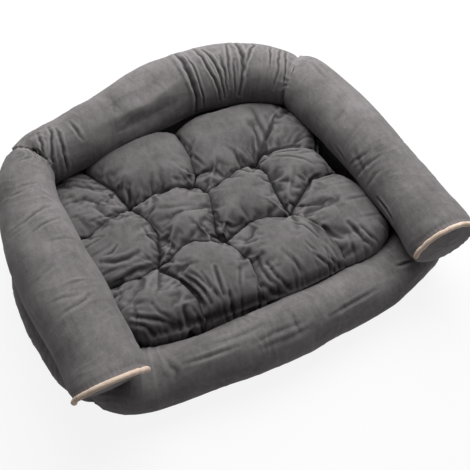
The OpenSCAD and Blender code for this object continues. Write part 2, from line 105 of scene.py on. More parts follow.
def forward(degrees):
    """Unit direction in plan at an angle from +X."""
    a = math.radians(degrees)
    return np.array([math.cos(a), math.sin(a)])


def seam_path(a, b, angle_a, angle_b, reach_a, reach_b):
    """Cubic from a to b that leaves and arrives at the given angles."""
    return np.array([a, a + reach_a * forward(angle_a), b - reach_b * forward(angle_b), b])


def raised(path, first_move, second_move):
    """The same cubic with two degrees more, then its two middle points moved."""
    q = np.asarray(path, float)
    return np.array(
        [
            q[0],
            (2 * q[0] + 3 * q[1]) / 5,
            (q[0] + 6 * q[1] + 3 * q[2]) / 10 + first_move,
            (3 * q[1] + 6 * q[2] + q[3]) / 10 + second_move,
            (3 * q[2] + 2 * q[3]) / 5,
            q[3],
        ]
    )


def curve(path, s):
    """Bezier point: the sum of C(n, k) (1-s)^(n-k) s^k p(k)."""
    s = np.asarray(s, float)[..., None]
    n = len(path) - 1
    return sum(math.comb(n, k) * (1 - s) ** (n - k) * s**k * path[k] for k in range(n + 1))


def heading(path, s):
    """Unit direction of the curve: the Bezier point of the steps between its points, normalised."""
    d = curve(np.diff(np.asarray(path, float), axis=0), s)
    return d / np.linalg.norm(d, axis=-1, keepdims=True)


def outward(ahead):
    """The direction to the right of a heading in plan, which is the outer side of every wall."""
    return np.stack([ahead[..., 1], -ahead[..., 0]], -1)


def along(shares, s):
    """Evenly spaced shares joined by straight lines, then smoothed over a tenth of the length."""
    fine = np.linspace(-0.2, 1.2, 561)
    flat = np.interp(fine, np.linspace(0, 1, len(shares)), shares)
    width = 41
    kernel = np.hanning(width)
    kernel /= kernel.sum()
    smooth = np.convolve(np.pad(flat, width // 2, mode="edge"), kernel, mode="valid")
    return np.interp(s, fine, smooth)


class Wall:
    """A soft roll or bolster: a path in plan and an elliptical section that changes along it."""

    def __init__(self, path, level, ends, full, widths, heights, flats=(0, 0), leans=(0, 0)):
        self.path = np.asarray(path, float)
        self.level = level
        self.ends = np.asarray(ends)
        self.full = full
        self.widths = widths
        self.heights = heights
        self.flats = flats
        self.leans = leans
        self.fine = np.linspace(0, 1, 401)
        steps = np.linalg.norm(np.diff(curve(self.path, self.fine), axis=0), axis=1)
        self.lengths = np.concatenate([[0], np.cumsum(steps)])
        self.length = self.lengths[-1]

    def run(self, s):
        """Length along the path up to s."""
        return np.interp(s, self.fine, self.lengths)

    def share_at(self, run):
        """The s at a length along the path."""
        return np.interp(run, self.lengths, self.fine)

    def size(self, s, which, shares):
        """End size, straight from end to end, plus the shares of what the full size adds."""
        end = np.interp(s, [0, 1], self.ends[:, which])
        return end + (self.full[which] - end) * along(shares, s)

    def half_width(self, s):
        return self.size(s, 0, self.widths) / 2

    def height(self, s):
        return self.size(s, 1, self.heights)

    def lean(self, s):
        """Lean of a ring: end lean times cos^2(90 deg * distance / fade), from either end."""
        first, last = (
            np.cos(np.clip(far / lean_fade_share, 0, 1) * math.pi / 2) ** 2 for far in (s, 1 - s)
        )
        return self.leans[1] * last - self.leans[0] * first

    def points(self, s, t, inset=0.0):
        """p = c(s) + w cos(t) out + h sin(t) (cos(lean) up + sin(lean) forward), pressed flat below."""
        s = np.asarray(s, float)
        h = self.height(s)
        full = h * (1 + flat_share + flat_share * along(self.flats, s)) / 2
        mid_z = self.level + full - h * flat_share
        tilt = self.lean(s)
        low = (self.level + inset - mid_z) / np.cos(tilt)
        side = (self.half_width(s) - inset) * np.cos(t)
        rise = (full - inset) * np.sin(t)
        soft = 0.004
        rise = low + soft * np.logaddexp(0, (rise - low) / soft)
        ahead = heading(self.path, s)
        plan = curve(self.path, s) + side[..., None] * outward(ahead)
        plan = plan + (rise * np.sin(tilt))[..., None] * ahead
        return np.concatenate([plan, (mid_z + rise * np.cos(tilt))[..., None]], -1)


arm_shares = {
    "right": [0, -0.1, -0.2, -0.25, -0.1, 0.3, 0.5, 0.6, 0.4, 0],
    "left": [0, -0.2, -0.15, 0.1, 0.5, 0.85, 1, 0.7, 0.3, 0],
}
arm_heights = [0, 0.6, 0.9, 1, 1, 1, 1, 0.9, 0.5, 0]
back_widths = [0, 0.85, 1.1, 1.1, 1.05, 0.75, 0.25, 0, -0.1, 0]
back_heights = [0, 0.9, 1.05, 1.1, 1.1, 0.8, 0.45, 0.25, 0.1, 0]
front_widths = [0.3, 1.25, 0.6, 0.45, 0.6, 0.75, 0.92, 1.0, 0.85, 1.3]
front_heights = [0, 0, 0.1, 0.8, 1, 1, 0.8, 0.1, 0, 0]
front_flats = [1, 1, 0.2, 0, 0, 0, 0, 0.2, 1, 1]
lower_widths = [0, 0.9, 1, 1, 1, 0.9, 0]
arm_end = (0.124, 0.119)
seam_end = (0.105, 0.103)
right_seam_end = (0.116, 0.112)
corner_end = (0.088, 0.088)

right_arm = Wall(
    [
        right_front,
        right_front + [right_arm_flare, arm_reach],
        right_seam - right_seam_reach * forward(135),
        right_seam,
    ],
    roll_z,
    (arm_end, right_seam_end),
    (0.136, 0.116),
    arm_shares["right"],
    arm_heights,
    leans=(right_end_lean, 0),
)
back_course = seam_path(right_seam, left_seam, 135, 225, back_right_reach, back_left_reach)
back_roll = Wall(
    raised(back_course, back_right_move, back_left_move),
    roll_z,
    (right_seam_end, seam_end),
    (0.142, 0.128),
    back_widths,
    back_heights,
)
left_course = [
    left_seam,
    left_seam + left_seam_reach * forward(225),
    left_front + [-left_arm_flare, arm_reach],
    left_front,
]
left_arm = Wall(
    raised(left_course, left_arm_move, left_arm_end_move),
    roll_z,
    (seam_end, arm_end),
    (0.136, 0.116),
    arm_shares["left"],
    arm_heights,
    leans=(0, left_end_lean),
)


def low_wall(a, b, angle_a, angle_b, reaches, full=(0.100, 0.088), shares=(lower_widths, [1, 1], [1, 1])):
    """A wall of the low ring, with the same section at its two corners."""
    path = seam_path(a, b, angle_a, angle_b, *reaches)
    return Wall(path, lower_z, (corner_end, corner_end), full, *shares)


front_shares = (front_widths, front_heights, front_flats)
front_bolster = low_wall(left_corner, right_corner, -45, 45, front_reaches, (0.108, 0.104), front_shares)
right_lower_wall = low_wall(right_corner, right_back_corner, 45, 135, right_side_reaches)
back_lower_wall = low_wall(right_back_corner, left_back_corner, 135, 225, lower_back_reaches)
left_lower_wall = low_wall(left_back_corner, left_corner, 225, 315, left_side_reaches)


def lattice(x, y, seed, wrap=0):
    """Value noise, -1 to 1: lattice values r(i, j) mixed by 6f^5 - 15f^4 + 10f^3, j modulo wrap."""
    i, j = np.floor(x), np.floor(y)
    fx, fy = x - i, y - j

    def value(a, b):
        b = np.mod(b, wrap) if wrap else b
        v = np.sin(a * 127.1 + b * 311.7 + seed * 74.7) * 43758.5453
        return 2 * (v - np.floor(v)) - 1

    wx = fx**3 * (fx * (fx * 6 - 15) + 10)
    wy = fy**3 * (fy * (fy * 6 - 15) + 10)
    low = value(i, j) * (1 - wx) + value(i + 1, j) * wx
    high = value(i, j + 1) * (1 - wx) + value(i + 1, j + 1) * wx
    return low * (1 - wy) + high * wy


def groove(q):
    """Cross profile of a fold: -exp(-|q|^1.4) in the valley, with a lip of 0.4 exp(-(|q|-1.9)^2)."""
    return -np.exp(-(np.abs(q) ** 1.4)) + 0.4 * np.exp(-((np.abs(q) - 1.9) ** 2))


def fold_depth(places, line, width, depth, margin=0.04, power=0.6):
    """Depth of a fold along a polyline: groove(distance / width) sin(pi * share along it)^power.

    The share stays margin away from both ends. The line and the places have as many coordinates.
    """
    line = np.asarray(line, float)
    lengths = np.linalg.norm(np.diff(line, axis=0), axis=1)
    nearest = np.full(places.shape[:-1], 1e9)
    share = np.zeros(places.shape[:-1])
    before = 0.0
    for start, end, size in zip(line[:-1], line[1:], lengths):
        ahead = (end - start) / size
        k = np.clip((places - start) @ ahead, 0, size)
        far = np.linalg.norm(places - start - k[..., None] * ahead, axis=-1)
        closer = far < nearest
        nearest = np.where(closer, far, nearest)
        share = np.where(closer, (before + k) / lengths.sum(), share)
        before += size
    taper = np.sin(np.clip(share, margin, 1 - margin) * math.pi) ** power
    return depth * taper * groove(nearest / width)


def section_normals(points):
    """Unit normals of closed rings of points: the cross product of the two differences, turned outwards."""
    around = (np.roll(points, -1, 1) - np.roll(points, 1, 1)) / 2
    normals = np.cross(np.gradient(points, axis=0), around)
    normals = normals / (np.linalg.norm(normals, axis=-1, keepdims=True) + 1e-12)
    outwards = ((points - points.mean(axis=1, keepdims=True)) * normals).sum()
    return -normals if outwards < 0 else normals


def signed_volume(points, faces):
    """Sum of a . (b x c) / 6 over the triangles of a closed mesh."""
    total = 0.0
    for size in {len(f) for f in faces}:
        index = np.array([f for f in faces if len(f) == size])
        for k in range(1, size - 1):
            a, b, c = points[index[:, 0]], points[index[:, k]], points[index[:, k + 1]]
            total += (a * np.cross(b, c)).sum() / 6
    return total


def facing_out(points, faces):
    """The faces of a closed mesh, reversed where they enclose a volume below 0."""
    return [f[::-1] for f in faces] if signed_volume(points, faces) < 0 else faces


def make_object(name, points, faces):
    """A smooth mesh object at the origin, its faces turned outwards."""
    points = np.asarray(points, float)
    mesh = bpy.data.meshes.new(name)
    mesh.from_pydata(points.tolist(), [], facing_out(points, faces))
    mesh.update()
    mesh.polygons.foreach_set("use_smooth", [True] * len(mesh.polygons))
    return add_object(name, mesh)


def grid_faces(index):
    """Quads between the rows and columns of a grid of point numbers."""
    corners = [index[:-1, :-1], index[:-1, 1:], index[1:, 1:], index[1:, :-1]]
    return np.stack(corners, -1).reshape(-1, 4).tolist()


def tube_faces(n, m):
    """Quads between n closed rings of m points."""
    index = np.arange(n * m).reshape(n, m)
    return grid_faces(np.column_stack([index, index[:, 0]]))


def ladder(loop, flip):
    """Quads straight across a closed loop of points, which fill a flat end."""
    m = len(loop)
    faces = [[loop[k], loop[k + 1], loop[m - k - 1], loop[m - k]] for k in range(1, m // 2 - 1)]
    faces.append([loop[0], loop[1], loop[m - 1]])
    faces.append([loop[m // 2 - 1], loop[m // 2], loop[m // 2 + 1]])
    return [face[::-1] for face in faces] if flip else faces


def tube_part(rings):
    """Points and faces of a closed solid of rings, with a flat end on the first and the last."""
    n, m = rings.shape[:2]
    ends = ladder(range(m), True) + ladder(range((n - 1) * m, n * m), False)
    return rings.reshape(-1, 3), tube_faces(n, m) + ends


def merged(parts):
    """Several closed meshes, each (points, faces), as one list of points and faces."""
    points, faces, count = [], [], 0
    for p, f in parts:
        points.append(p)
        faces += [[i + count for i in x] for x in facing_out(p, f)]
        count += len(p)
    return np.vstack(points), faces


def read_rows(data, label, width=3, kind=np.float32):
    """The values of a mesh's points, edges or attribute, one row each."""
    flat = np.empty(len(data) * width, kind)
    data.foreach_get(label, flat)
    return flat.reshape(-1, width)


def read_points(mesh):
    """The places of a mesh's points."""
    return read_rows(mesh.vertices, "co").astype(float)


def write_points(mesh, points):
    """Moves a mesh's points to these places."""
    mesh.vertices.foreach_set("co", np.asarray(points, np.float32).ravel())
    mesh.update()


def vertex_normals(mesh):
    """The unit normals at a mesh's points."""
    return read_rows(mesh.vertex_normals, "vector").astype(float)


def mark_relief_shade(obj, reach):
    """Stores how far each point lies below (-) or above (+) its surroundings, in units of reach, as the
    relief value that paints shade into the nap.

    The surroundings are ten rounds of the mean over the neighbours of each point.
    """
    points = read_points(obj.data)
    edges = read_rows(obj.data.edges, "vertices", 2, np.int32)
    count = np.bincount(edges.ravel(), minlength=len(points))[:, None]
    mean = points.copy()
    for _ in range(10):
        total = np.zeros_like(mean)
        np.add.at(total, edges[:, 0], mean[edges[:, 1]])
        np.add.at(total, edges[:, 1], mean[edges[:, 0]])
        mean = total / np.maximum(count, 1)
    height = ((points - mean) * vertex_normals(obj.data)).sum(1)
    relief_shade = obj.data.attributes.new("relief_shade", "FLOAT", "POINT")
    relief_shade.data.foreach_set("value", np.clip(height / reach, -1, 1).astype(np.float32))


cloth_values = {
    "quality": 5,
    "mass": 0.2,
    "tension_stiffness": 15,
    "compression_stiffness": 15,
    "shear_stiffness": 5,
    "bending_stiffness": 0.15,
    "tension_damping": 5,
    "compression_damping": 5,
    "shear_damping": 5,
    "bending_damping": 0.5,
    "air_damping": 2,
    "use_pressure": True,
    "vertex_group_mass": "pins",
}


def inflate(obj, pins, frames, pressure, surplus, cap):
    """Cloth under pressure with surplus fabric, pinned by weight; no point moves further than cap."""
    start = read_points(obj.data)
    group = obj.vertex_groups.new(name="pins")
    for weight in np.unique(pins[pins > 0]):
        group.add(np.where(pins == weight)[0].tolist(), float(weight), "REPLACE")
    modifier = obj.modifiers.new("cloth", "CLOTH")
    for label, value in cloth_values.items():
        setattr(modifier.settings, label, value)
    modifier.settings.uniform_pressure_force = pressure
    modifier.settings.shrink_min = -surplus
    modifier.settings.effector_weights.gravity = 0
    modifier.collision_settings.use_collision = False
    modifier.collision_settings.use_self_collision = False
    modifier.point_cache.frame_start = 1
    modifier.point_cache.frame_end = frames + 1
    for step in range(1, frames + 1):
        scene.frame_set(step)
    graph = bpy.context.evaluated_depsgraph_get()
    moved = read_points(obj.evaluated_get(graph).data)
    obj.modifiers.clear()
    obj.vertex_groups.clear()
    scene.frame_set(1)
    shift = moved - start
    size = np.linalg.norm(shift, axis=1, keepdims=True)
    write_points(obj.data, start + shift * cap * np.tanh(size / cap) / np.maximum(size, 1e-9))


def subdivide(obj):
    """One subdivision, taken into the mesh."""
    modifier = obj.modifiers.new("subdivision", "SUBSURF")
    modifier.levels = modifier.render_levels = 1
    graph = bpy.context.evaluated_depsgraph_get()
    mesh = bpy.data.meshes.new_from_object(obj.evaluated_get(graph))
    obj.modifiers.clear()
    obj.data = mesh


# Materials


class Tree:
    """A node tree, with one short call for each kind of node that the materials use."""

    def __init__(self, tree):
        self.nodes = tree.nodes
        self.link = tree.links.new

    def add(self, kind, inputs={}, **settings):
        """A node with its settings and its inputs, each a value or another node's output."""
        node = self.nodes.new("ShaderNode" + kind)
        for label, value in settings.items():
            setattr(node, label, value)
        self.fill(node, inputs)
        return node

    def fill(self, node, inputs):
        """Sets the inputs to their values, and links those that are given another node's output."""
        for socket, value in inputs.items():
            if isinstance(value, bpy.types.NodeSocket):
                self.link(value, node.inputs[socket])
            else:
                node.inputs[socket].default_value = value

    def noise(self, where, scale, detail, rough, stretch=None):
        """Fractal noise over a place, which a stretch scales along each axis first."""
        if stretch:
            where = self.add("Mapping", {"Scale": stretch, "Vector": where}).outputs["Vector"]
        inputs = {"Scale": scale, "Detail": detail, "Roughness": rough, "Vector": where}
        return self.add("TexNoise", inputs).outputs["Fac"]

    def math(self, operation, a, b):
        return self.add("Math", {0: a, 1: b}, operation=operation).outputs[0]

    def weighted(self, *terms):
        """The sum of masks, each times its share."""
        total = self.math("MULTIPLY", *terms[0])
        for mask, share in terms[1:]:
            total = self.math("ADD", total, self.math("MULTIPLY", mask, share))
        return total

    def map(self, value, low, high, to_low, to_high):
        """The value carried in a straight line from low..high to to_low..to_high."""
        inputs = {"From Min": low, "From Max": high, "To Min": to_low, "To Max": to_high, "Value": value}
        return self.add("MapRange", inputs).outputs["Result"]

    def mix(self, factor, a, b):
        inputs = {"Factor": factor, "A": a, "B": b}
        return self.add("Mix", inputs, data_type="RGBA").outputs["Result"]

    def bump(self, height, strength, distance):
        inputs = {"Strength": strength, "Distance": distance, "Height": height}
        return self.add("Bump", inputs).outputs["Normal"]

    def seen(self):
        """1 for rays from the camera, or by way of a mirror or glass, and 0 for the others."""
        ray = self.add("LightPath").outputs
        seen = self.math("MAXIMUM", ray["Is Camera Ray"], ray["Is Glossy Ray"])
        return self.math("MAXIMUM", seen, ray["Is Transmission Ray"])


def new_group(name, extra):
    """A node group with Place, Dark, Light and extra inputs, and Color, Roughness and Normal outputs."""
    group = bpy.data.node_groups.new(name, "ShaderNodeTree")
    given = [("Place", "Vector"), ("Dark", "Color"), ("Light", "Color")]
    given += [(label, "Float") for label in extra]
    made = [("Color", "Color"), ("Roughness", "Float"), ("Normal", "Vector")]
    for side, sockets in (("INPUT", given), ("OUTPUT", made)):
        for label, kind in sockets:
            group.interface.new_socket(label, in_out=side, socket_type="NodeSocket" + kind)
    tree = Tree(group)
    return tree, tree.nodes.new("NodeGroupInput").outputs, tree.nodes.new("NodeGroupOutput")


def brushed_nap_group():
    """Brushed microfibre: nap patches, fine fibre grain, and painted shade that darkens creases where the
    relief value is below 0.
    """
    tree, given, made = new_group("brushed_nap", ("Fold", "Fold Weight"))
    where = given["Place"]
    patches = tree.noise(where, scale=14, detail=4, rough=0.6)
    brushed = tree.noise(where, scale=90, detail=4, rough=0.65, stretch=(1, 0.5, 0.7))
    fibres = tree.noise(where, scale=420, detail=3, rough=0.7)
    weave = tree.noise(where, scale=260, detail=3, rough=0.65)
    # The relief value moves the nap tone as well: painted light on ridges and painted shade in hollows.
    terms = ((patches, 0.40), (brushed, 0.32), (fibres, 0.28), (given["Fold"], given["Fold Weight"]))
    factor = tree.map(tree.weighted(*terms), 0.36, 0.64, 0, 1)
    colour = tree.mix(factor, given["Dark"], given["Light"])
    # Painted shade: the colour falls to 0.22 of itself in the deepest creases.
    shade = tree.map(given["Fold"], -0.2, -1.7, 1, 0.22)
    height = tree.math("ADD", tree.math("MULTIPLY", fibres, 0.5), weave)
    outputs = {
        "Color": tree.add("VectorMath", {0: colour, "Scale": shade}, operation="SCALE").outputs[0],
        "Roughness": tree.map(brushed, 0.3, 0.7, 0.82, 0.96),
        "Normal": tree.bump(height, strength=0.35, distance=0.0008),
    }
    tree.fill(made, outputs)


def plain_weave_group():
    """Plain weave: crossed wave textures of Weave bands for warp and weft over slow colour noise."""
    tree, given, made = new_group("plain_weave", ("Weave", "Rough"))
    tone = tree.noise(given["Place"], scale=40, detail=4, rough=0.6)
    inputs = {"Distortion": 0.6, "Detail": 1.0, "Scale": given["Weave"], "Vector": given["Place"]}
    threads = [
        tree.add("TexWave", inputs, wave_type="BANDS", bands_direction=axis).outputs["Fac"] for axis in "XYZ"
    ]
    woven = tree.math("MULTIPLY", tree.math("MAXIMUM", threads[0], threads[1]), threads[2])
    factor = tree.map(tree.weighted((woven, 0.35), (tone, 0.65)), 0.2, 0.75, 0, 1)
    outputs = {
        "Color": tree.mix(factor, given["Dark"], given["Light"]),
        "Roughness": tree.math("ADD", given["Rough"], tree.map(tone, 0.3, 0.7, -0.06, 0.06)),
        "Normal": tree.bump(woven, strength=0.5, distance=0.0003),
    }
    tree.fill(made, outputs)


def moulded_grain_group():
    """Moulded or cast surface: slow tone changes, fine grain and rubbed patches in the gloss."""
    tree, given, made = new_group("moulded_grain", ("Rough",))
    tone = tree.noise(given["Place"], scale=120, detail=5, rough=0.6)
    grain = tree.noise(given["Place"], scale=2200, detail=2, rough=0.5)
    outputs = {
        "Color": tree.mix(tree.map(tone, 0.3, 0.7, 0, 1), given["Dark"], given["Light"]),
        "Roughness": tree.math("ADD", given["Rough"], tree.map(tone, 0.3, 0.7, -0.08, 0.1)),
        "Normal": tree.bump(grain, strength=0.3, distance=0.0001),
    }
    tree.fill(made, outputs)


brushed_nap_group()
plain_weave_group()
moulded_grain_group()


def new_material(name):
    """A material with nodes, its tree and its Principled shader."""
    material = bpy.data.materials.new(name)
    material.use_nodes = True
    tree = Tree(material.node_tree)
    return material, tree, tree.nodes["Principled BSDF"]


def grouped_material(name, group, dark, light, values, sockets):
    """A material whose colour, roughness and normal come from a group, its other sockets plain."""
    material, tree, shader = new_material(name)
    place = tree.add("TexCoord").outputs["Object"]
    inputs = {"Place": place, "Dark": (*dark, 1), "Light": (*light, 1), **values}
    # The nap reads the stored relief value, which paints shade into creases.
    if group == "brushed_nap":
        inputs["Fold"] = tree.add("Attribute", attribute_name="relief_shade").outputs["Fac"]
    made = tree.add("Group", inputs, node_tree=bpy.data.node_groups[group]).outputs
    surface = {"Base Color": made["Color"], "Roughness": made["Roughness"], "Normal": made["Normal"]}
    tree.fill(shader, {**surface, **sockets})
    return material


def nap_material(name, dark, light):
    sockets = {
        "Specular IOR Level": 0.15,
        "Sheen Weight": 0.10,
        "Sheen Roughness": 0.5,
        "Sheen Tint": (0.78, 0.75, 0.75, 1),
    }
    # The weight sets how strongly the relief value paints light on ridges and shade in hollows.
    return grouped_material(name, "brushed_nap", dark, light, {"Fold Weight": 0.30}, sockets)


def weave_material(name, dark, light, weave):
    sockets = {"Specular IOR Level": 0.25, "Sheen Weight": 0.1}
    return grouped_material(name, "plain_weave", dark, light, {"Weave": weave, "Rough": 0.85}, sockets)


def moulded_material(name, dark, light, rough, metallic=0.0, coat=0.0):
    sockets = {"Metallic": metallic, "Coat Weight": coat}
    return grouped_material(name, "moulded_grain", dark, light, {"Rough": rough}, sockets)


suede = nap_material("suede", (0.080, 0.0745, 0.0755), (0.186, 0.1735, 0.1755))
# A darker copy of the suede for the cushion, the same fabric: painted shade.
shaded_cushion_suede = nap_material("shaded_cushion_suede", (0.058, 0.054, 0.055), (0.142, 0.1325, 0.1345))
# A lighter copy of the suede for the floor lining, the same fabric: painted light in the gaps round the
# cushion.
lit_lining_suede = nap_material("lit_lining_suede", (0.090, 0.084, 0.086), (0.190, 0.178, 0.182))
fibre_white = nap_material("fibre_white", (0.70, 0.70, 0.68), (0.90, 0.90, 0.88))
beige_cotton = weave_material("beige_cotton", (0.53, 0.40, 0.31), (0.79, 0.64, 0.53), 900)
cord_cotton = weave_material("cord_cotton", (0.62, 0.58, 0.50), (0.84, 0.81, 0.75), 600)
panel_weave = weave_material("panel_weave", (0.040, 0.039, 0.041), (0.095, 0.093, 0.097), 700)
thread = weave_material("thread", (0.050, 0.048, 0.050), (0.115, 0.111, 0.115), 1500)
tape_weave = weave_material("tape_weave", (0.055, 0.053, 0.056), (0.125, 0.120, 0.125), 1100)
rubber = moulded_material("rubber", (0.022, 0.022, 0.023), (0.050, 0.050, 0.052), 0.55)
nylon = moulded_material("nylon", (0.055, 0.055, 0.058), (0.110, 0.110, 0.114), 0.45)
zinc = moulded_material("zinc", (0.13, 0.13, 0.137), (0.24, 0.24, 0.25), 0.38, 0.6, 0.3)


def finish_piece(obj, material, body, slot_name, *nodes):
    """Gives a piece its material and its body, and hides the nodes that it stands for; the slot name is not
    used.
    """
    obj.data.materials.append(material)
    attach(obj, body)
    if nodes:
        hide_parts(*nodes)


# Rolls and bolsters

# Rings along a roll and points round each
fine_rings = (380, 192)
plain_rings = (220, 120)
filling_rings = (60, 36)

# Folds of the covers: places as the run in mm and the turn in degrees, then width and depth in mm.
back_folds = (
    (((254, 60), (255, 86), (256, 125), (256, 152), (258, 200)), 5.0, 10.0),
    (((246, 70), (243, 85), (241, 116), (241, 150), (237, 190)), 2.8, 4.0),
    (((218, 66), (215, 78), (208, 119), (198, 151), (192, 182)), 3.4, 5.5),
    (((203, 76), (199, 84), (187, 117), (182, 143), (181, 178)), 3.0, 5.5),
    (((148, 60), (151, 77), (156, 116), (164, 158)), 3.0, 3.5),
    (((132, 50), (128, 66), (121, 103), (122, 127), (134, 176)), 4.2, 8.0),
    (((93, 60), (95, 74), (108, 108), (119, 138)), 3.0, 4.0),
    (((172, 100), (170, 130), (172, 170)), 3.0, 3.5),
    (((142, 112), (146, 140), (150, 178)), 2.6, 3.0),
    (((40, 60), (40, 73), (34, 125), (38, 163)), 3.0, 3.0),
    (((60, 66), (59, 82), (54, 128)), 2.6, 2.6),
    (((30, 60), (16, 124), (12, 168)), 2.6, 3.2),
    (((480, 128), (459, 131), (366, 139), (283, 124)), 13.0, -3.2),
    (((470, 158), (400, 162), (300, 156)), 16.0, 2.6),
    (((566, 80), (570, 101), (593, 146), (600, 185)), 3.2, 5.0),
    (((590, 80), (597, 112), (612, 149), (617, 179)), 3.0, 4.0),
    (((527, 96), (525, 140)), 3.0, 2.6),
    (((556, 96), (560, 118), (568, 146), (576, 190)), 3.0, 4.0),
    (((430, 70), (432, 110), (428, 140)), 9.0, 1.6),
)
left_folds = (
    (((203, 66), (199, 82), (189, 100), (174, 130)), 3.4, 1.6),
    (((232, 80), (221, 104), (207, 134)), 3.0, 1.5),
    (((133, 70), (130, 94)), 3.0, 1.1),
    (((118, 88), (108, 122)), 3.0, 1.1),
    (((396, 66), (394, 76), (393, 95), (382, 124)), 3.6, 1.7),
    (((368, 64), (373, 83), (379, 104)), 3.0, 1.2),
    (((354, 92), (357, 122)), 3.0, 1.2),
    (((129, 118), (154, 146)), 4.0, 1.2),
    (((50, 88), (31, 120)), 3.0, 1.1),
    (((262, 100), (256, 150)), 4.0, 1.1),
    (((318, 60), (310, 90)), 4.0, 0.9),
)
right_folds = (
    (((234, 180), (219, 145), (214, 128)), 3.4, 1.6),
    (((208, 188), (196, 140), (193, 108)), 3.6, 1.7),
    (((171, 180), (170, 130)), 4.0, 1.5),
    (((246, 146), (215, 157), (184, 168)), 5.0, 1.5),
    (((136, 178), (104, 175), (78, 178)), 3.4, 4.6),
    (((480, 84), (464, 86), (430, 92)), 4.0, 1.1),
    (((292, 176), (250, 184)), 4.0, 1.5),
    (((330, 110), (318, 150)), 7.0, 1.0),
)
front_folds = (
    (((255, 66), (299, 70), (354, 66)), 4.2, 1.3),
    (((264, 52), (314, 49), (362, 52)), 4.4, 1.3),
    (((340, 92), (337, 70), (338, 46)), 5.0, 1.6),
    (((568, 76), (586, 68), (602, 62)), 3.0, 3.4),
    (((112, 100), (123, 69), (121, 48)), 5.0, 1.7),
    (((138, 78), (181, 74), (229, 73)), 3.4, 1.8),
    (((400, 54), (445, 57), (500, 58)), 3.4, 1.8),
    (((180, 96), (230, 92), (290, 94)), 5.0, 1.6),
)

# How far gathers reach from a seam and from an end panel, and above which count they belong to a panel
seam_pleat_fade = 0.024
panel_pleat_fade = 0.006
most_seam_pleats = 15

# How much the ends draw in, over which length, and the height over which the flat underside starts
panel_end_draw = 0.0035
arm_seam_draw = 0.0045
corner_draw = 0.0055
shoulder = 0.010
rest_fade = 0.012
# Reach of the relief value that paints shade into the covers' creases
cover_shade_reach = 0.0018

# The filling's section lies this far inside, with hollows, and rounds off towards its ends
filling_inset = 0.006
filling_hollow = 0.0035
end_round = 0.022


def ridged(noise, power):
    """Sharp small ridges: 0.6 - |noise|^power."""
    return 0.6 - np.abs(noise) ** power


def roll_shape(wall, s, t, seed, lump, wrinkle, gathers, folds):
    """Section points moved along their normals by lumps, wrinkles, gathers at the ends and folds.

    The lumps and wrinkles are value noise over the run and the turn, and the gathers are cosines of the
    turn that fade from an end. Both ends are drawn in, and the underside stays flat.
    """
    points = wall.points(s, t)
    run = wall.run(s)
    radius = (wall.half_width(s) + wall.height(s) / 2) / 2
    mean_radius = float(radius.mean())
    angle = t / TAU

    def waves(length, count, step, shift=0):
        return lattice((run + shift) / length, angle * count, seed + step, count)

    warp = 0.012 * waves(0.05, 8, 2)
    patch = 0.5 + 0.5 * waves(0.09, 4, 5)
    rough_patch = np.clip(1.6 * waves(0.07, 5, 12), 0, 1)
    lengthways = lattice(run / 0.060, (angle + warp * 2) * 30, seed + 4, 30)
    move = lump * waves(0.085, 5, 0) + 0.5 * lump * waves(0.045, 9, 1)
    move += wrinkle * patch * ridged(waves(0.016, 6, 3, warp), 0.7)
    move += 0.6 * wrinkle * (1 - patch) * ridged(lengthways, 0.7)
    move += 0.7 * wrinkle * rough_patch * ridged(waves(0.011, 9, 10, 0.09 * angle + warp), 0.6)
    for end, size, count in gathers:
        far = run if end == 0 else wall.length - run
        fade = np.exp(-far / (panel_pleat_fade if count > most_seam_pleats else seam_pleat_fade))
        bend = 2.2 * 1.2 * waves(0.03, 11, 6 + end) + 3 * lattice(angle * 7, run * 0, seed + 9, 0)
        strength = 0.6 + 0.4 * lattice(angle * 9, run * 0, seed + 13, 9)
        move += size * fade * strength * (1 - 2 * np.abs(np.cos(count * t + bend)) ** 0.8)
    for line, width, depth in folds:
        line = [(at / 1000, math.radians(turn) * mean_radius) for at, turn in line]
        middle = sum(place[1] for place in line) / len(line) / mean_radius
        near = (np.mod(t - middle + math.pi, TAU) - math.pi + middle) * mean_radius
        bend = 0.0016 * lattice(run / 0.012, near / 0.012, seed + 14)
        move += fold_depth(np.stack([run + bend, near], -1), line, width / 1000, depth / 1000)
    ends = np.exp(-((run / shoulder) ** 2)) + np.exp(-(((wall.length - run) / shoulder) ** 2))
    draw = np.where((run < wall.length / 2) == (wall.leans[0] > 0), panel_end_draw, arm_seam_draw)
    draw = draw if sum(wall.leans) > 0 else corner_draw
    resting = np.clip((points[..., 2] - wall.level) / rest_fade, 0, 1)
    points = points + section_normals(points) * ((move - draw * ends) * resting)[..., None]
    points[..., 2] = np.maximum(points[..., 2], wall.level + 0.0003)
    return points


def roll_grid(wall, rings, around):
    """The grid of s and t, even in run and in turn."""
    s = wall.share_at(np.linspace(0, wall.length, rings))
    return np.meshgrid(s, np.arange(around) * TAU / around, indexing="ij")


def roll_piece(name, wall, seed, lump, wrinkle, gathers, folds=(), size=fine_rings):
    """A roll's or wall's cover, as a closed solid of the shaped rings."""
    points = roll_shape(wall, *roll_grid(wall, *size), seed, lump, wrinkle, gathers, folds)
    obj = make_object(name, *tube_part(points))
    # Relief value for the painted shade in the cover's creases
    mark_relief_shade(obj, cover_shade_reach)
    finish_piece(obj, suede, "bed", "suede_fabric", name + "_cover")


def filling_piece(name, wall, seed):
    """Loose fibre inside a cover: the section drawn in by about 9.5 mm, lumpy, rounded at its ends."""
    s, t = roll_grid(wall, *filling_rings)
    points = wall.points(s, t, filling_inset)
    centre = points.mean(axis=1, keepdims=True)
    run = wall.run(s)
    lumps = 0.0015 * lattice(run / 0.03, t / TAU * 12, seed, 12) - filling_hollow
    points = points + section_normals(points) * lumps[..., None]
    near_end = np.minimum(run, wall.length - run)
    squeeze = 0.97 - 0.25 * np.exp(-((near_end / end_round) ** 2))
    points = centre + (points - centre) * squeeze[..., None]
    obj = make_object(name + "_fibre", *tube_part(points[3:-3]))
    finish_piece(obj, fibre_white, "bed", "fibre_filling", name)


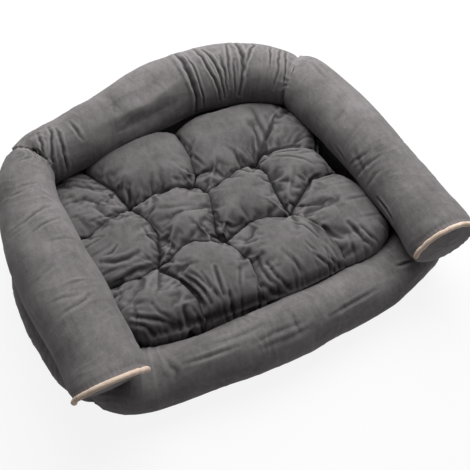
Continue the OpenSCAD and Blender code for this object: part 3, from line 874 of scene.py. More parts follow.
# Gathers: end of the roll, size in m and count. An arm's end with a panel has many small ones.
roll_piece("back_roll", back_roll, 11, 0.0034, 0.0014, [(0, 0.0020, 9), (1, 0.0026, 9)], back_folds)
roll_piece("left_arm", left_arm, 23, 0.0026, 0.0010, [(0, 0.0018, 9), (1, 0.0012, 26)], left_folds)
roll_piece("right_arm", right_arm, 37, 0.0028, 0.0010, [(1, 0.0010, 8), (0, 0.0012, 26)], right_folds)
roll_piece("front_bolster", front_bolster, 41, 0.0026, 0.0014, [(0, 0.0015, 7), (1, 0.0015, 7)], front_folds)
for name, wall, seed in (
    ("right_lower_wall", right_lower_wall, 53),
    ("back_lower_wall", back_lower_wall, 59),
    ("left_lower_wall", left_lower_wall, 61),
):
    roll_piece(name, wall, seed, 0.0022, 0.0016, [(0, 0.0016, 7), (1, 0.0016, 7)], size=plain_rings)
for name, wall, seed in (
    ("front_bolster_filling", front_bolster, 71),
    ("right_lower_wall_filling", right_lower_wall, 72),
    ("back_lower_wall_filling", back_lower_wall, 73),
    ("left_lower_wall_filling", left_lower_wall, 74),
    ("right_arm_filling", right_arm, 75),
    ("back_roll_filling", back_roll, 76),
    ("left_arm_filling", left_arm, 77),
):
    filling_piece(name, wall, seed)

# Cushion

cushion_low = np.array([-0.231, -0.223])
cushion_high = np.array([0.259, 0.1734])
cushion_z = 0.0105
tuft_xs = (-0.148, -0.008, 0.132)
tuft_ys = (-0.094, 0.062)
tuft_z = 0.0765
zip_middle_x = 0.014
zip_z = 0.053
cushion_columns = 132
cushion_rows = 108
side_loops = 12
crease_hold = 0.35
lobe_reach = 0.062
lobe_xs = (-0.212, -0.080, 0.062, 0.196)
lobe_ys = (-0.165, -0.015, 0.140)
lobe_peaks = ((0.112, 0.121, 0.122, 0.116), (0.108, 0.107, 0.109, 0.118), (0.108, 0.121, 0.121, 0.117))
left_bow = (0.012, 0.020, 0.029, 0.040, 0.050, 0.058, 0.062, 0.062, 0.054)
right_bow = (0.026, 0.040, 0.038, 0.024, 0.010, 0.012, 0.032, 0.036, 0.014)
front_bow = (0.000, 0.002, 0.010, 0.012, 0.014, 0.016, 0.016, 0.012, 0.002)
back_bow = (0.016, 0.034, 0.048, 0.052, 0.050, 0.042, 0.048, 0.052, 0.050, 0.038, 0.010)

# Creases between the lobes: plan places, heights at the start, the middle and the end, reach.
creases = (
    (((-8, 62), (3, 82), (8, 123), (9, 182), (9, 215)), (77, 92, 86), 1.0),
    (((132, 62), (146, 76), (171, 95), (184, 112)), (77, 110, 119), 0.5),
    (((132, 62), (153, 73), (211, 56), (258, 38)), (77, 103, 98), 0.8),
    (((132, 62), (135, 13), (129, -47), (132, -94)), (77, 96, 77), 1.0),
    (((132, -94), (144, -79), (178, -57), (205, -38), (250, -36)), (77, 92, 84), 0.9),
    (((-8, 62), (8, 28), (6, 16), (-7, -36), (-20, -77), (-8, -94)), (77, 96, 77), 1.0),
    (((8, 28), (57, 43), (102, 57), (132, 62)), (94, 97, 77), 1.0),
    (((-148, 62), (-120, 58), (-94, 63), (-50, 62), (-8, 62)), (77, 98, 77), 1.0),
    (((-148, 62), (-128, 5), (-123, -32), (-135, -72), (-148, -94)), (77, 97, 77), 1.0),
    (((-148, -94), (-122, -93), (-92, -78), (-66, -76), (-39, -85), (-8, -94)), (77, 93, 77), 1.0),
    (((-8, -94), (15, -87), (49, -80), (82, -83), (132, -94)), (77, 93, 77), 1.0),
    (((132, -94), (148, -132), (158, -164), (166, -204), (171, -240)), (77, 108, 96), 0.7),
    (((-148, 62), (-196, 40), (-240, 19), (-270, 23)), (77, 98, 96), 0.8),
    (((-148, 62), (-164, 104), (-186, 146), (-200, 178)), (77, 101, 96), 0.7),
    (((-148, -94), (-183, -106), (-211, -106), (-245, -103)), (77, 92, 88), 0.9),
    (((-148, -94), (-122, -151), (-112, -196), (-113, -240)), (77, 104, 92), 0.8),
    (((-8, -94), (6, -166), (1, -210), (-1, -250)), (77, 106, 92), 0.8),
)

tufts = [(a, b) for a in tuft_xs for b in tuft_ys]
plan_middle = (cushion_low + cushion_high) / 2
edge_z = 0.088
edge_round = 0.032
plan_size = (0.50, 0.42)
corner_in_share = 0.09
top_inset_share = 0.015
bow_share = 0.45
base_draw_from = 0.7
base_draw_share = 0.06
underside_share = 0.94
valley_marks = (0, 0.3, 0.7, 1)
pinned_rounding = 0.8


def cushion_plan(u, v, high=1.0):
    """Plan of the cushion: a box whose sides bow out by their tables, corners drawn in."""
    left = cushion_low[0] + 0.001 - along(left_bow, v)
    right = cushion_high[0] - 0.001 + along(right_bow, v)
    front = cushion_low[1] + 0.001 - along(front_bow, u)
    back = cushion_high[1] - 0.0006 + along(back_bow, u) * high
    x = left + (right - left) * u
    y = front + (back - front) * v
    draw = 1 - corner_in_share * np.abs((2 * u - 1) * (2 * v - 1)) ** 7
    return plan_middle[0] + (x - plan_middle[0]) * draw, plan_middle[1] + (y - plan_middle[1]) * draw


def crease_field(x, y, snap=0.0):
    """Lowest of the profiles h + (peak - h) (1 - (1 - q)^2)^0.7, q the distance to a crease in reach.

    With snap, points that near to a crease are drawn onto it. Gives x, y, height and nearness.
    """
    front, middle, back = (np.interp(x, lobe_xs, row) for row in lobe_peaks)
    share = np.interp(y, lobe_ys, (0, 1, 2))
    peak = np.where(share < 1, front + (middle - front) * share, middle + (back - middle) * (share - 1))
    top = peak.copy()
    nearest = np.full(x.shape, 1.0)
    snap_x, snap_y = x.copy(), y.copy()
    for line, heights, reach in creases:
        line = np.array(line) / 1000
        lengths = np.linalg.norm(np.diff(line, axis=0), axis=1)
        marks = np.concatenate([[0], np.cumsum(lengths)]) / lengths.sum()
        first, valley, last = heights
        levels = np.interp(marks, valley_marks, (first, valley, valley, last)) / 1000
        for a, b, low, high in zip(line[:-1], line[1:], levels[:-1], levels[1:]):
            dx, dy = b - a
            k = np.clip(((x - a[0]) * dx + (y - a[1]) * dy) / (dx * dx + dy * dy), 0, 1)
            px, py = a[0] + k * dx, a[1] + k * dy
            far = np.hypot(x - px, y - py)
            closer = far < nearest
            nearest = np.where(closer, far, nearest)
            snapped = far < snap
            snap_x = np.where(closer & snapped, px, snap_x)
            snap_y = np.where(closer & snapped, py, snap_y)
            q = np.clip(np.where(snapped, 0, far) / (reach * lobe_reach), 0, 1)
            floor_z = low + (high - low) * k
            top = np.minimum(top, floor_z + (peak - floor_z) * (1 - (1 - q) ** 2) ** 0.7)
    return snap_x, snap_y, top, nearest


def cushion_shape(snap):
    """Top grid with the creases' height field, rounded side loops and an underside.

    Towards the edge the top falls by a quarter circle over edge_round to the height edge_z. The side loops
    go from the edge of the top to the bowed plan and down, and draw in over their last part.
    """
    u, v = np.meshgrid(np.linspace(0, 1, cushion_columns + 1), np.linspace(0, 1, cushion_rows + 1))
    x, y = cushion_plan(*(top_inset_share + (1 - 2 * top_inset_share) * part for part in (u, v)))
    x, y, top, nearest = crease_field(x, y, snap)
    away = np.minimum(np.minimum(u, 1 - u) * plan_size[0], np.minimum(v, 1 - v) * plan_size[1])
    rounding = np.sqrt(1 - (1 - np.clip(away / edge_round, 0, 1)) ** 2)
    top = edge_z + (top - edge_z) * np.where(top > edge_z, rounding, 1)
    index = np.arange(u.size).reshape(u.shape)
    edge = np.concatenate([index[0, :-1], index[:-1, -1], index[-1, :0:-1], index[:0:-1, 0]])
    vertices = [np.stack([x, y, top], -1).reshape(-1, 3)]
    faces = grid_faces(index)
    rim_z = top.ravel()[edge]
    around = u.ravel()[edge], v.ravel()[edge]
    full = np.stack(cushion_plan(*around), -1)
    lowest = np.stack(cushion_plan(*around, 0.0), -1)
    upper, count = edge, u.size
    for f in np.arange(1, side_loops + 1) / side_loops:
        draw = 1 - max(0.0, (f - base_draw_from) / (1 - base_draw_from)) ** 2 * base_draw_share
        plan = full + (lowest - full) * min(1.0, f / bow_share)
        plan = plan_middle + (plan - plan_middle) * draw
        vertices.append(np.column_stack([plan, rim_z + (cushion_z - rim_z) * f]))
        loop = np.arange(count, count + len(edge))
        faces += np.stack([upper, loop, np.roll(loop, -1), np.roll(upper, -1)], -1).tolist()
        upper = loop
        count += len(edge)
    base = np.full(u.size, -1)
    base[edge] = upper
    inner = base < 0
    base[inner] = count + np.arange(inner.sum())
    under = np.stack(cushion_plan(u.ravel()[inner], v.ravel()[inner], 0.0), -1)
    under = plan_middle + (under - plan_middle) * underside_share
    vertices.append(np.column_stack([under, np.full(len(under), cushion_z)]))
    faces += [face[::-1] for face in grid_faces(base.reshape(u.shape))]
    crease = (nearest.ravel() < snap) & (rounding.ravel() > pinned_rounding)
    return np.vstack(vertices), faces, u.size, len(edge), crease


def keep_outside(points, wall, gap=0.0015):
    """Pushes points that lie inside a wall's ellipse out to it, away from the wall's middle line."""
    fine = np.linspace(0, 1, 240)
    centre = curve(wall.path, fine)
    h = wall.height(fine)
    full = h * (1 + flat_share) / 2
    mid_z = wall.level + full - h * flat_share
    half = wall.half_width(fine)
    moved = points.copy()
    block = 4000
    for start in range(0, len(points), block):
        part = moved[start : start + block]
        k = np.linalg.norm(part[:, None, :2] - centre[None], axis=2).argmin(1)
        out = part[:, :2] - centre[k]
        d = np.maximum(np.linalg.norm(out, axis=1), 1e-9)
        dz = part[:, 2] - mid_z[k]
        q = np.sqrt((d / (half[k] + gap)) ** 2 + (dz / (full[k] + gap)) ** 2)
        scale = np.where(q < 1, 1 / np.maximum(q, 1e-3), 1)
        part[:, :2] = centre[k] + out * scale[:, None]
        part[:, 2] = np.where(q < 1, mid_z[k] + dz * scale, part[:, 2])
    return moved


# Folds of the loose cover: places on it in mm, then width and depth in mm.
cushion_folds = (
    (((-163, 71, 101), (-177, 101, 106), (-200, 115, 115), (-214, 149, 114)), 3.0, 2.5),
    (((-160, 64, 94), (-178, 73, 106), (-196, 80, 108), (-206, 87, 108)), 2.6, 2.0),
    (((-163, 36, 100), (-184, 53, 98), (-208, 51, 103), (-230, 47, 110)), 2.8, 2.4),
    (((-217, -7, 121), (-239, 1, 115), (-258, 27, 97)), 2.6, 1.8),
    (((-152, 53, 90), (-141, 76, 96), (-132, 93, 118)), 3.5, 2.2),
    (((-142, 61, 83), (-128, 49, 104), (-115, 44, 109)), 3.0, 1.5),
    (((-142, -10, 114), (-141, -33, 112), (-131, -47, 102), (-131, -66, 94)), 3.0, 2.6),
    (((-172, -67, 119), (-193, -73, 120), (-217, -70, 119), (-240, -58, 117)), 4.5, 5.0),
    (((-158, -94, 95), (-188, -98, 110), (-219, -103, 106), (-241, -100, 101)), 4.5, 5.0),
    (((-146, -83, 92), (-166, -89, 106), (-189, -92, 112)), 3.0, -1.6),
    (((-202, -39, 123), (-216, -50, 121), (-231, -50, 118)), 2.6, 2.2),
    (((-232, -146, 103), (-211, -167, 119), (-187, -181, 124)), 4.5, 1.8),
    (((-238, -170, 95), (-215, -196, 116), (-185, -212, 113), (-156, -226, 89)), 3.6, 4.0),
    (((-187, -183, 124), (-181, -203, 119), (-165, -217, 110), (-153, -225, 93)), 3.0, 2.2),
    (((-234, -193, 102), (-213, -209, 110), (-202, -222, 90)), 3.2, 3.6),
    (((-133, -120, 94), (-119, -157, 108), (-109, -189, 114), (-105, -216, 112), (-107, -230, 89)), 3.0, 4.0),
    (((-119, -139, 115), (-105, -168, 123), (-96, -196, 124), (-93, -219, 114), (-93, -230, 86)), 2.8, 4.0),
    (((-105, -146, 125), (-94, -171, 130), (-87, -197, 127), (-83, -220, 115)), 2.8, 3.0),
    (((-88, -164, 133), (-84, -189, 130), (-79, -213, 125), (-76, -227, 104)), 3.0, 3.2),
    (((-62, -166, 135), (-66, -192, 132), (-69, -216, 123), (-74, -229, 89)), 3.2, 4.6),
    (((-21, -183, 128), (-34, -211, 124), (-41, -230, 104)), 3.0, 2.8),
    (((-61, -220, 116), (-60, -229, 95), (-60, -237, 80)), 5.0, 4.6),
    (((19, -172, 120), (15, -200, 122), (19, -224, 117), (35, -240, 99)), 3.0, 3.2),
    (((27, -191, 128), (32, -221, 121), (44, -238, 107), (70, -238, 68)), 3.0, 3.6),
    (((4, -222, 109), (19, -237, 100), (41, -245, 89)), 3.6, 4.0),
    (((63, -185, 136), (75, -215, 130), (82, -234, 113), (86, -245, 92)), 4.2, 2.2),
    (((112, -183, 135), (116, -198, 133), (121, -209, 129)), 2.5, 2.4),
    (((114, -210, 128), (129, -230, 116), (143, -240, 94)), 2.8, 3.8),
    (((140, -226, 117), (148, -233, 108), (159, -236, 90)), 2.6, 2.6),
    (((117, -126, 123), (130, -145, 129), (136, -163, 128), (140, -179, 127)), 2.8, 3.6),
    (((139, -102, 93), (153, -131, 109), (167, -166, 115), (181, -194, 115)), 3.2, 2.8),
    (((162, -138, 109), (171, -174, 116), (183, -196, 117)), 4.0, 2.4),
    (((208, -175, 127), (214, -195, 122), (217, -218, 118), (229, -229, 103)), 3.6, 4.8),
    (((224, -191, 126), (232, -214, 121), (247, -228, 103)), 3.2, 2.8),
    (((292, -147, 109), (307, -157, 84), (299, -185, 89)), 3.4, 3.4),
    (((12, 140, 107), (17, 110, 115), (25, 80, 117)), 2.8, 2.2),
    (((13, 190, 103), (16, 150, 114), (18, 128, 116)), 2.8, 1.8),
    (((141, 70, 92), (169, 88, 112), (193, 117, 117), (196, 144, 131)), 6.0, 2.6),
    (((136, 63, 83), (154, 59, 106), (180, 46, 122), (210, 33, 123), (245, 35, 101)), 3.0, 3.6),
    (((153, 74, 95), (179, 71, 105), (213, 63, 110), (247, 54, 104)), 2.8, 2.6),
    (((159, 42, 117), (186, 24, 128), (212, 4, 126), (228, -15, 117)), 3.0, 2.4),
    (((188, -59, 111), (207, -36, 102), (221, -31, 102), (235, -31, 102)), 3.0, 3.6),
    (((129, 67, 88), (129, 79, 102), (124, 88, 113)), 2.6, 1.6),
    (((-30, 62, 94), (-46, 63, 107), (-63, 65, 107)), 2.6, 1.6),
    (((-25, 66, 93), (-33, 75, 107), (-48, 77, 120)), 2.6, 1.5),
    (((-150, 20, 111), (-113, 21, 109), (-78, 2, 124), (-36, -8, 122)), 4.5, 1.8),
    (((-17, -31, 110), (-44, -56, 117), (-66, -66, 107), (-86, -76, 101)), 4.5, 1.8),
    (((142, -96, 97), (160, -93, 109), (180, -97, 115)), 2.8, 2.0),
    (((102, 47, 108), (83, 54, 104), (57, 46, 108)), 2.8, 1.5),
    (((3, -117, 107), (23, -134, 126), (45, -146, 134)), 3.0, 1.3),
)


def fine_folds():
    """Fine folds from each tuft, down the front and down both sides, as plan lines in mm.

    Each is a line with its width and depth. The draws are seeded, so they are the same each run.
    """
    chance = np.random.default_rng(17)
    draw = chance.uniform
    folds = []
    count = 11
    for a, b in tufts:
        for k in range(count):
            turn = TAU * (k + draw(-0.4, 0.4)) / count
            size, bend = draw(18, 42), draw(-0.3, 0.3)
            line = []
            for far, part in ((3, 0), (3 + size / 2, 0.4), (3 + size, 1)):
                at = turn + bend * part
                line.append((1000 * a + far * math.cos(at), 1000 * b + far * math.sin(at)))
            folds.append((line, draw(2.2, 3.0), draw(0.5, 1.3)))
    place = -215.0
    while place < 280:
        slant, start = draw(-12, 12), draw(-222, -196)
        line = [(place + slant, start), (place + slant * 0.3, start - 20), (place, -262)]
        folds.append((line, draw(2.6, 3.6), draw(0.8, 2.4)))
        place += draw(8, 40)
    for side, low, high, start in ((-1, -190, 150, 200), (1, -180, 110, 212)):
        place = low
        while place < high:
            slant, from_x = draw(-10, 10), side * (start + draw(0, 18))
            line = [(from_x, place + slant), (from_x + side * 24, place + slant * 0.4), (side * 290, place)]
            folds.append((line, draw(2.6, 3.6), draw(0.6, 1.8)))
            place += draw(20, 50)
    return folds


def tuft_distance(points, tuft):
    """Distance of each point from a tuft in plan."""
    return np.hypot(points[:, 0] - tuft[0], points[:, 1] - tuft[1])


def shade_creases(obj):
    """Paints shade beside the creases and at the tufts by lowering the relief values there.

    By exp(-distance / 6 mm) beside a crease, and by 0.6 exp(-(distance / 9 mm)^2) more at a tuft.
    """
    points = read_points(obj.data)
    layer = obj.data.attributes["relief_shade"].data
    relief_shade = read_rows(layer, "value", 1)[:, 0]
    shade = np.exp(-crease_field(points[:, 0], points[:, 1])[3] / 0.006)
    for tuft in tufts:
        shade += 0.6 * np.exp(-((tuft_distance(points, tuft) / 0.009) ** 2))
    relief_shade -= shade * np.clip((points[:, 2] - 0.05) / 0.02, 0, 1)
    layer.foreach_set("value", relief_shade)


crease_snap = 0.0021
tuft_r = 0.005
zip_flat_half_x = 0.168
zip_flat_half_z = 0.017
zip_flat_front_y = 0.160
zip_flat_y = 0.1726
most_shift = 0.024
# Reach of the relief value that paints shade into the cushion's creases
cushion_shade_reach = 0.0022


def cushion_piece():
    """The cover: blown up as cloth that is held at creases, tufts, zip and base, then folded."""
    vertices, faces, top_count, edge_count, crease = cushion_shape(crease_snap)
    at_zip = (
        (np.abs(vertices[:, 0] - zip_middle_x) < zip_flat_half_x)
        & (np.abs(vertices[:, 2] - zip_z) < zip_flat_half_z)
        & (vertices[:, 1] > zip_flat_front_y)
    )
    vertices[at_zip, 1] = zip_flat_y
    loose_count = top_count + side_loops * edge_count
    loose_faces = [face for face in faces if max(face) < loose_count]
    upper = make_object("cushion_start", vertices[:loose_count], loose_faces)
    pins = np.zeros(loose_count)
    pins[:top_count][crease] = crease_hold
    for tuft in tufts:
        far = tuft_distance(vertices[:top_count], tuft)
        pins[:top_count][far < tuft_r] = 1
        pins[far.argmin()] = 1
    pins[loose_count - 2 * edge_count :] = 1
    pins[at_zip[:loose_count]] = 1
    inflate(upper, pins, frames=22, pressure=4.0, surplus=0.16, cap=most_shift)
    vertices[:loose_count] = read_points(upper.data)
    bpy.data.objects.remove(upper)
    for wall in (left_arm, right_arm, back_roll, front_bolster):
        vertices = keep_outside(vertices, wall)
    vertices[:, 2] = np.maximum(vertices[:, 2], cushion_z)
    obj = make_object("cushion", vertices, faces)
    subdivide(obj)
    points = read_points(obj.data)
    move = np.zeros(len(points))
    for line, width, depth in fine_folds():
        move += fold_depth(points[:, :2], np.array(line) / 1000, width / 1000, depth / 1000)
    half_height = np.array([1, 1, 0.5])
    for line, width, depth in cushion_folds:
        line = np.array(line) / 1000 * half_height
        move += fold_depth(points * half_height, line, width / 1000, depth / 1000, 0.06, 0.5)
    move *= np.clip((points[:, 2] - 0.040) / 0.030, 0, 1)
    write_points(obj.data, points + vertex_normals(obj.data) * move[:, None])
    # Painted shade for the cushion: the relief value, then darker values beside the creases and at the tufts.
    mark_relief_shade(obj, cushion_shade_reach)
    shade_creases(obj)
    finish_piece(obj, shaded_cushion_suede, "cushion", "suede_fabric", "cushion_cover")
    return vertices[:top_count]


low_cell = 0.005
highest_cover = 0.2
highest_filling = 0.11
filling_shares = np.array([0.93, 0.92, 1.0])
filling_back_y = 0.168
filling_gap = 0.005
cover_t = 0.0015


def cushion_filling_piece(cover):
    """Loose fibre under the cover: each top point 5 mm below the lowest cover point within 15 mm."""
    vertices, faces, top_count, _, _ = cushion_shape(0.0)
    corner = cover[:, :2].min(axis=0)
    column, row = ((cover[:, :2] - corner) / low_cell).astype(int).T
    low = np.full((column.max() + 1, row.max() + 1), highest_cover)
    np.minimum.at(low, (column, row), cover[:, 2])
    for _ in range(3):
        for axis in (0, 1):
            low = np.minimum(low, np.minimum(np.roll(low, 1, axis), np.roll(low, -1, axis)))
    middle = np.array([*plan_middle, cushion_z])
    points = middle + (vertices - middle) * filling_shares
    points[:, 1] = np.minimum(points[:, 1], filling_back_y)
    column, row = ((points[:top_count, :2] - corner) / low_cell).astype(int).T
    column, row = np.clip(column, 0, low.shape[0] - 1), np.clip(row, 0, low.shape[1] - 1)
    points[:top_count, 2] = np.minimum(low[column, row], highest_filling) - filling_gap
    points[:, 2] = np.maximum(points[:, 2], cushion_z + cover_t)
    points[:, 2] += 0.0005 * lattice(points[:, 0] / 0.02, points[:, 1] / 0.02, 81)
    obj = make_object("cushion_fibre", points, faces)
    finish_piece(obj, fibre_white, "cushion", "fibre_filling", "cushion_filling")


cushion_filling_piece(cushion_piece())


def sweep(path, radius, sides, profile=None):
    """Rings of points round a 3-D path, in a frame carried along it without twist.

    Point at turn t: path + r (cos(t) side + sin(t) across), r being the radius times the profile.
    """
    path = np.asarray(path, float)
    count = len(path)
    ahead = np.gradient(path, axis=0)
    ahead /= np.linalg.norm(ahead, axis=1, keepdims=True)
    side = np.cross(ahead[0], [0.3, 0.5, 0.8])
    carried = []
    for tangent in ahead:
        side = side - tangent * (side @ tangent)
        side = side / np.linalg.norm(side)
        carried.append(side)
    side = np.array(carried)[:, None]
    across = np.cross(ahead[:, None], side)
    t = np.arange(sides) * TAU / sides
    r = np.broadcast_to(radius, count)[:, None] * np.ones(sides)
    if profile:
        r = r * profile(np.arange(count)[:, None] / (count - 1), t)
    return path[:, None] + (r * np.cos(t))[..., None] * side + (r * np.sin(t))[..., None] * across


# Tuft stitches

knot_r = 0.003
strand_r = 0.0005
knot_strand_r = 0.0006
twist_length = 0.012


def stitches_piece():
    """Under each tuft a rod of three twisted strands, with a crossed knot of three arcs on top."""
    parts = []
    for number, (a, b) in enumerate(tufts):
        i, j = divmod(number, len(tuft_ys))
        z = np.linspace(0.0115, tuft_z - 0.0004, 60)
        for strand in range(3):
            turn = z / twist_length * TAU + strand * TAU / 3
            path = [a + strand_r * np.cos(turn), b + strand_r * np.sin(turn), z]
            parts.append(tube_part(sweep(np.column_stack(path), strand_r, 8)))
        u = np.linspace(-1, 1, 22)
        for k in range(3):
            angle = k * TAU / 6 + 0.4 * i + 0.7 * j
            rise = tuft_z + 0.0014 - 0.0022 * u**4 + 0.0002 * k
            path = [a + u * knot_r * math.cos(angle), b + u * knot_r * math.sin(angle), rise]
            parts.append(tube_part(sweep(np.column_stack(path), knot_strand_r, 8)))
    obj = make_object("tuft_stitches", *merged(parts))
    finish_piece(obj, thread, "cushion", "thread", "cushion_tuft_stitches")


stitches_piece()

# Arm ends

end_mid_z = roll_z + 0.116 * (1 - flat_share) / 2
piping_r = 0.0594
piping_half = 0.0045
piping_y = -0.0003 - piping_half
piping_half_angle = math.radians(98)
panel_r = piping_r - piping_half - 0.0003
cord_r = 0.0028


def end_matrix(front, ahead, lean):
    """Frame of an arm end: -y out of the arm, leaned so that its top overhangs."""
    turn = math.atan2(ahead[1], ahead[0]) + math.pi / 2
    place = Matrix.Translation((front[0], front[1], end_mid_z))
    return np.array(place @ Matrix.Rotation(turn, 4, "Z") @ Matrix.Rotation(lean, 4, "X"))


def placed(points, matrix):
    """The points turned and moved by a 4 by 4 matrix."""
    return np.asarray(points) @ matrix[:3, :3].T + matrix[:3, 3]


def ribbed(k, turn):
    """Profile of the piping: 1 + 0.03 cos(75 turns of k, bent by the turn), less a thin seam below."""
    rib = 0.030 * np.cos(k * 75 * TAU + 0.8 * np.sin(turn))
    return 1 + rib - 0.05 * np.exp(-((np.mod(turn + 0.4, TAU) - math.pi) ** 2) / 0.02)


def twisted(k, turn):
    """Profile of a cord of three strands that turn 34 times round each other."""
    return 1 + 0.10 * np.cos(3 * turn - k * 34 * TAU)


def end_panel(side, matrix):
    """Panel of an arm end: a dome of 5 mm (1 - r^2)^0.8 with small puckers at its rim, closed behind."""
    angle = np.arange(120) * TAU / 120
    radius, angle = np.meshgrid(np.linspace(1, 0.02, 26), angle, indexing="ij")
    pucker = 0.0005 * np.cos(26 * angle + 2 * lattice(angle * 3, radius * 2, 91)) * radius**6
    dome = 0.0050 * (1 - radius**2) ** 0.8 + pucker + 0.0006 * lattice(radius * 3, angle * 2, 93)
    across, up = panel_r * radius * np.cos(angle), panel_r * radius * np.sin(angle)
    front_face = np.stack([across, -0.0028 - dome, up], -1)
    back_face = np.stack([across, np.full_like(radius, -0.0004), up], -1)[::-1]
    points, faces = tube_part(np.concatenate([back_face[-3:], front_face]))
    panel = make_object(side + "_end_panel", placed(points, matrix), faces)
    # Relief value for the painted shade at the panel's puckers
    mark_relief_shade(panel, 0.002)
    finish_piece(panel, suede, "bed", "suede_fabric", side + "_arm_end_panel")


def end_piping(side, matrix, seed):
    """Piping in an arc over the panel, a little wavy, thinner at its tails, with a cord inside."""
    a = np.linspace(-1, 1, 230)
    angle = math.pi / 2 - a * piping_half_angle
    wave = 0.0007 * lattice(a * 9, a * 0, seed) + 0.0003 * lattice(a * 31, a * 0, 97)
    radius = piping_r + wave
    path = np.column_stack([radius * np.cos(angle), piping_y + 0.5 * wave, radius * np.sin(angle)])
    tail = np.clip((np.abs(a) - 0.955) / 0.045, 0, 1)
    rings = sweep(placed(path, matrix), piping_half * (1 - 0.25 * tail**2), 20, ribbed)
    piping = make_object(side + "_piping", *tube_part(rings))
    finish_piece(piping, beige_cotton, "bed", "piping_fabric", side + "_arm_piping")
    rings = sweep(placed(path[4:-4], matrix), cord_r, 12, twisted)
    cord = make_object(side + "_piping_cord", *tube_part(rings))
    finish_piece(cord, cord_cotton, "bed", "piping_cord", side + "_arm_piping_cord")


for side, wall, at, sign in (("left", left_arm, 1.0, 1), ("right", right_arm, 0.0, -1)):
    matrix = end_matrix(curve(wall.path, at), heading(wall.path, at) * sign, max(wall.leans))
    end_panel(side, matrix)
    end_piping(side, matrix, 95 + sign)

# Floor of the bed

lower_walls = (front_bolster, right_lower_wall, back_lower_wall, left_lower_wall)
bottom_share = 0.62
floor_share = -0.72
dot_area_share = 0.35
dot_pitch = 0.030
dot_rows = 12
dot_columns = 15


def lower_outline(share):
    """Outline of the lower walls, moved out from their middle by a share of their half width."""
    s = (np.arange(48) + 0.5) / 48
    loop = np.vstack(
        [
            curve(wall.path, s) + share * wall.half_width(s)[:, None] * outward(heading(wall.path, s))
            for wall in lower_walls
        ]
    )
    return sum(np.roll(loop, k, 0) for k in range(-4, 5)) / 9


def slab_piece(name, share, low, high, relief):
    """A thin closed slab inside an outline: rings drawn to its middle, above and below.

    Its edge is rounded over a fiftieth of the way in, and relief(x, y, way in) is added on top.
    """
    loop = lower_outline(share)
    middle = loop.mean(0)
    way_in = np.linspace(0, 1, 40)[:, None]
    plan = middle + (loop - middle)[None] * (1 - way_in)[..., None]
    x, y = plan[..., 0], plan[..., 1]
    edge = np.clip(way_in / 0.02, 0, 1) ** 0.5
    mid = (low + high) / 2
    top = mid + (high - mid) * edge + relief(x, y, way_in)
    bottom = mid + (low - mid) * edge + 0 * x
    upper = np.stack([x, y, top], -1)[:-1]
    lower = np.stack([x, y, bottom], -1)[1:-1][::-1]
    rings = np.concatenate([lower, upper])
    n, m = rings.shape[:2]
    points = np.vstack([rings.reshape(-1, 3), [[*middle, bottom[-1, 0]], [*middle, top[-1, 0]]]])
    k = np.arange(m)
    after = np.roll(k, -1)
    last = (n - 1) * m
    ends = np.array([[after, k, 0 * k + n * m], [last + k, last + after, 0 * k + n * m + 1]])
    faces = tube_faces(n, m) + ends.transpose(2, 0, 1).reshape(-1, 3).tolist()
    return make_object(name, points, faces), loop


def stitch_relief(x, y, way_in):
    """A sewn line a twentieth of the way in, and slow waves."""
    line = -0.0004 * np.exp(-(((way_in - 0.05) / 0.008) ** 2))
    return line + 0.0002 * lattice(x / 0.03, y / 0.03, 101)


def quilt(x, y, way_in):
    """Diamond quilting: a dip of 1.2 mm along two families of crossing lines."""
    a = np.abs(np.sin((x + y) / 0.06 * math.pi))
    b = np.abs(np.sin((x - y) / 0.06 * math.pi))
    return -0.0012 * np.exp(-((np.minimum(a, b) / 0.12) ** 2))


def slow_waves(x, y, way_in):
    """Waves of 0.3 mm with steps of 50 mm, kept below the top."""
    return 0.0003 * lattice(x / 0.05, y / 0.05, 111) - 0.0003


def inside(loop, x, y):
    """Even-odd rule: crossings of a ray to the right of the point."""
    x0, y0 = loop[:, 0], loop[:, 1]
    x1, y1 = np.roll(x0, -1), np.roll(y0, -1)
    crosses = (y0 > y) != (y1 > y)
    where_x = x0 + (y - y0) / np.where(y1 == y0, 1e-9, y1 - y0) * (x1 - x0)
    return bool((crosses & (where_x > x)).sum() % 2)


def grip_dots():
    """Printed dots in staggered rows below the bottom panel, each of four rings that narrow downwards."""
    area = lower_outline(dot_area_share)
    t = np.arange(12) * TAU / 12
    radius = np.array([0.0042, 0.0042, 0.0036, 0.0020])[:, None]
    height = np.array([0.0009, 0.0003, 0.00008, 0.00002])[:, None] + 0 * t
    dots = []
    for row in range(-dot_rows, dot_rows + 1):
        for column in range(-dot_columns, dot_columns + 1):
            x = (column + 0.5 * (row % 2)) * dot_pitch
            y = row * dot_pitch * 0.866
            if inside(area, x, y):
                dots.append(tube_part(np.stack([x + radius * np.cos(t), y + radius * np.sin(t), height], -1)))
    return merged(dots)


panel, loop = slab_piece("bottom_panel_fabric", bottom_share, 0.0004, 0.0025, stitch_relief)
finish_piece(panel, panel_weave, "bed", "non_slip_panel", "bottom_panel")
finish_piece(make_object("bottom_panel_dots", *grip_dots()), rubber, "bed", "non_slip_panel")

padding, loop = slab_piece("floor_padding_pad", floor_share, 0.0029, 0.0086, quilt)
finish_piece(padding, fibre_white, "bed", "fibre_filling", "floor_padding")

lining, loop = slab_piece("floor_lining_cloth", floor_share, 0.0088, 0.0098, slow_waves)
finish_piece(lining, lit_lining_suede, "bed", "suede_fabric", "floor_lining")

# Zip

zip_y = 0.1737
tape_t = 0.0008
tape_half_l = 0.166
tape_half_h = 0.016


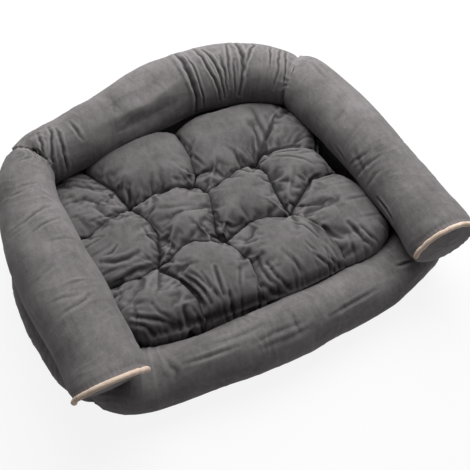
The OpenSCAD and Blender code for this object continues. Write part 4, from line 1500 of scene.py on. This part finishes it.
def tape_piece():
    """The woven tape: a thin slab whose outer face is zip_y + t - 0.1 mm, with a rib of 0.08 mm cos(40 w)."""
    u, w = np.meshgrid(np.linspace(-1, 1, 150), np.linspace(-1, 1, 24), indexing="ij")
    x = zip_middle_x + u * tape_half_l
    z = zip_z + w * tape_half_h
    outer = zip_y + tape_t - 0.0001 + 0.00008 * np.cos(w * 40)
    inner = np.full_like(x, zip_y + 0.00005)
    points = np.vstack([np.stack([x, y, z], -1).reshape(-1, 3) for y in (outer, inner)])
    index = np.arange(x.size).reshape(x.shape)
    faces = grid_faces(index)
    faces += [[i + x.size for i in face[::-1]] for face in faces]
    edge = np.concatenate([index[:-1, 0], index[-1, :-1], index[:0:-1, -1], index[0, :0:-1]])
    after = np.roll(edge, -1)
    faces += np.stack([after, edge, edge + x.size, after + x.size], -1).tolist()
    obj = make_object("zip_tape", points, faces)
    finish_piece(obj, tape_weave, "cushion", "zip_tape", "cushion_zip_tape")


tape_piece()
for node, material in (
    ("cushion_zip_teeth", nylon),
    ("cushion_zip_stops", zinc),
    ("cushion_zip_slider", zinc),
    ("cushion_zip_puller", zinc),
):
    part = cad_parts[node]
    part.data.materials.clear()
    part.data.materials.append(material)
    bevel = part.modifiers.new("bevel", "BEVEL")
    bevel.width = 0.00015
    bevel.segments = 2
    bevel.limit_method = "ANGLE"
    bevel.angle_limit = math.radians(40)

# Floor and light

floor_white_share = 0.88
world_strength = 0.10

bpy.ops.mesh.primitive_plane_add(size=14, location=(0, 0, -0.0002))
floor = bpy.context.object
floor.name = "floor"
floor_paint, tree, shader = new_material("floor_paint")
tone = tree.noise(tree.add("TexCoord").outputs["Object"], scale=3, detail=2, rough=0.5)
floor_tone = tree.mix(tone, (0.76, 0.76, 0.76, 1), (0.80, 0.80, 0.80, 1))
tree.fill(shader, {"Base Color": floor_tone, "Roughness": 0.9})
white = tree.add("Emission", {"Color": (1, 1, 1, 1), "Strength": 1.0}).outputs["Emission"]
whiteness = tree.math("MULTIPLY", tree.seen(), floor_white_share)
surface = tree.add("MixShader", {"Fac": whiteness, 1: shader.outputs["BSDF"], 2: white}).outputs["Shader"]
tree.fill(tree.nodes["Material Output"], {"Surface": surface})
floor.data.materials.append(floor_paint)


def soft_light(name, place, aim, size, power):
    """A round lamp of that size and power in watts, at a place and aimed at a point."""
    light = bpy.data.lights.new(name, "AREA")
    light.shape = "DISK"
    light.size = size
    light.energy = power
    add_object(name, light, place, Vector(place) - Vector(aim))


soft_light("overhead", (0.5, 0.6, 1.3), (0.1, 0.1, 0.1), 1.8, 46)
soft_light("left_fill", (-2.2, 0.4, 1.2), (0, 0, 0.1), 1.6, 2)
world = bpy.data.worlds.new("world")
scene.world = world
world.use_nodes = True
tree = Tree(world.node_tree)
strength = tree.map(tree.seen(), 0, 1, world_strength, 1)
tree.fill(tree.nodes["Background"], {"Color": (1, 1, 1, 1), "Strength": strength})
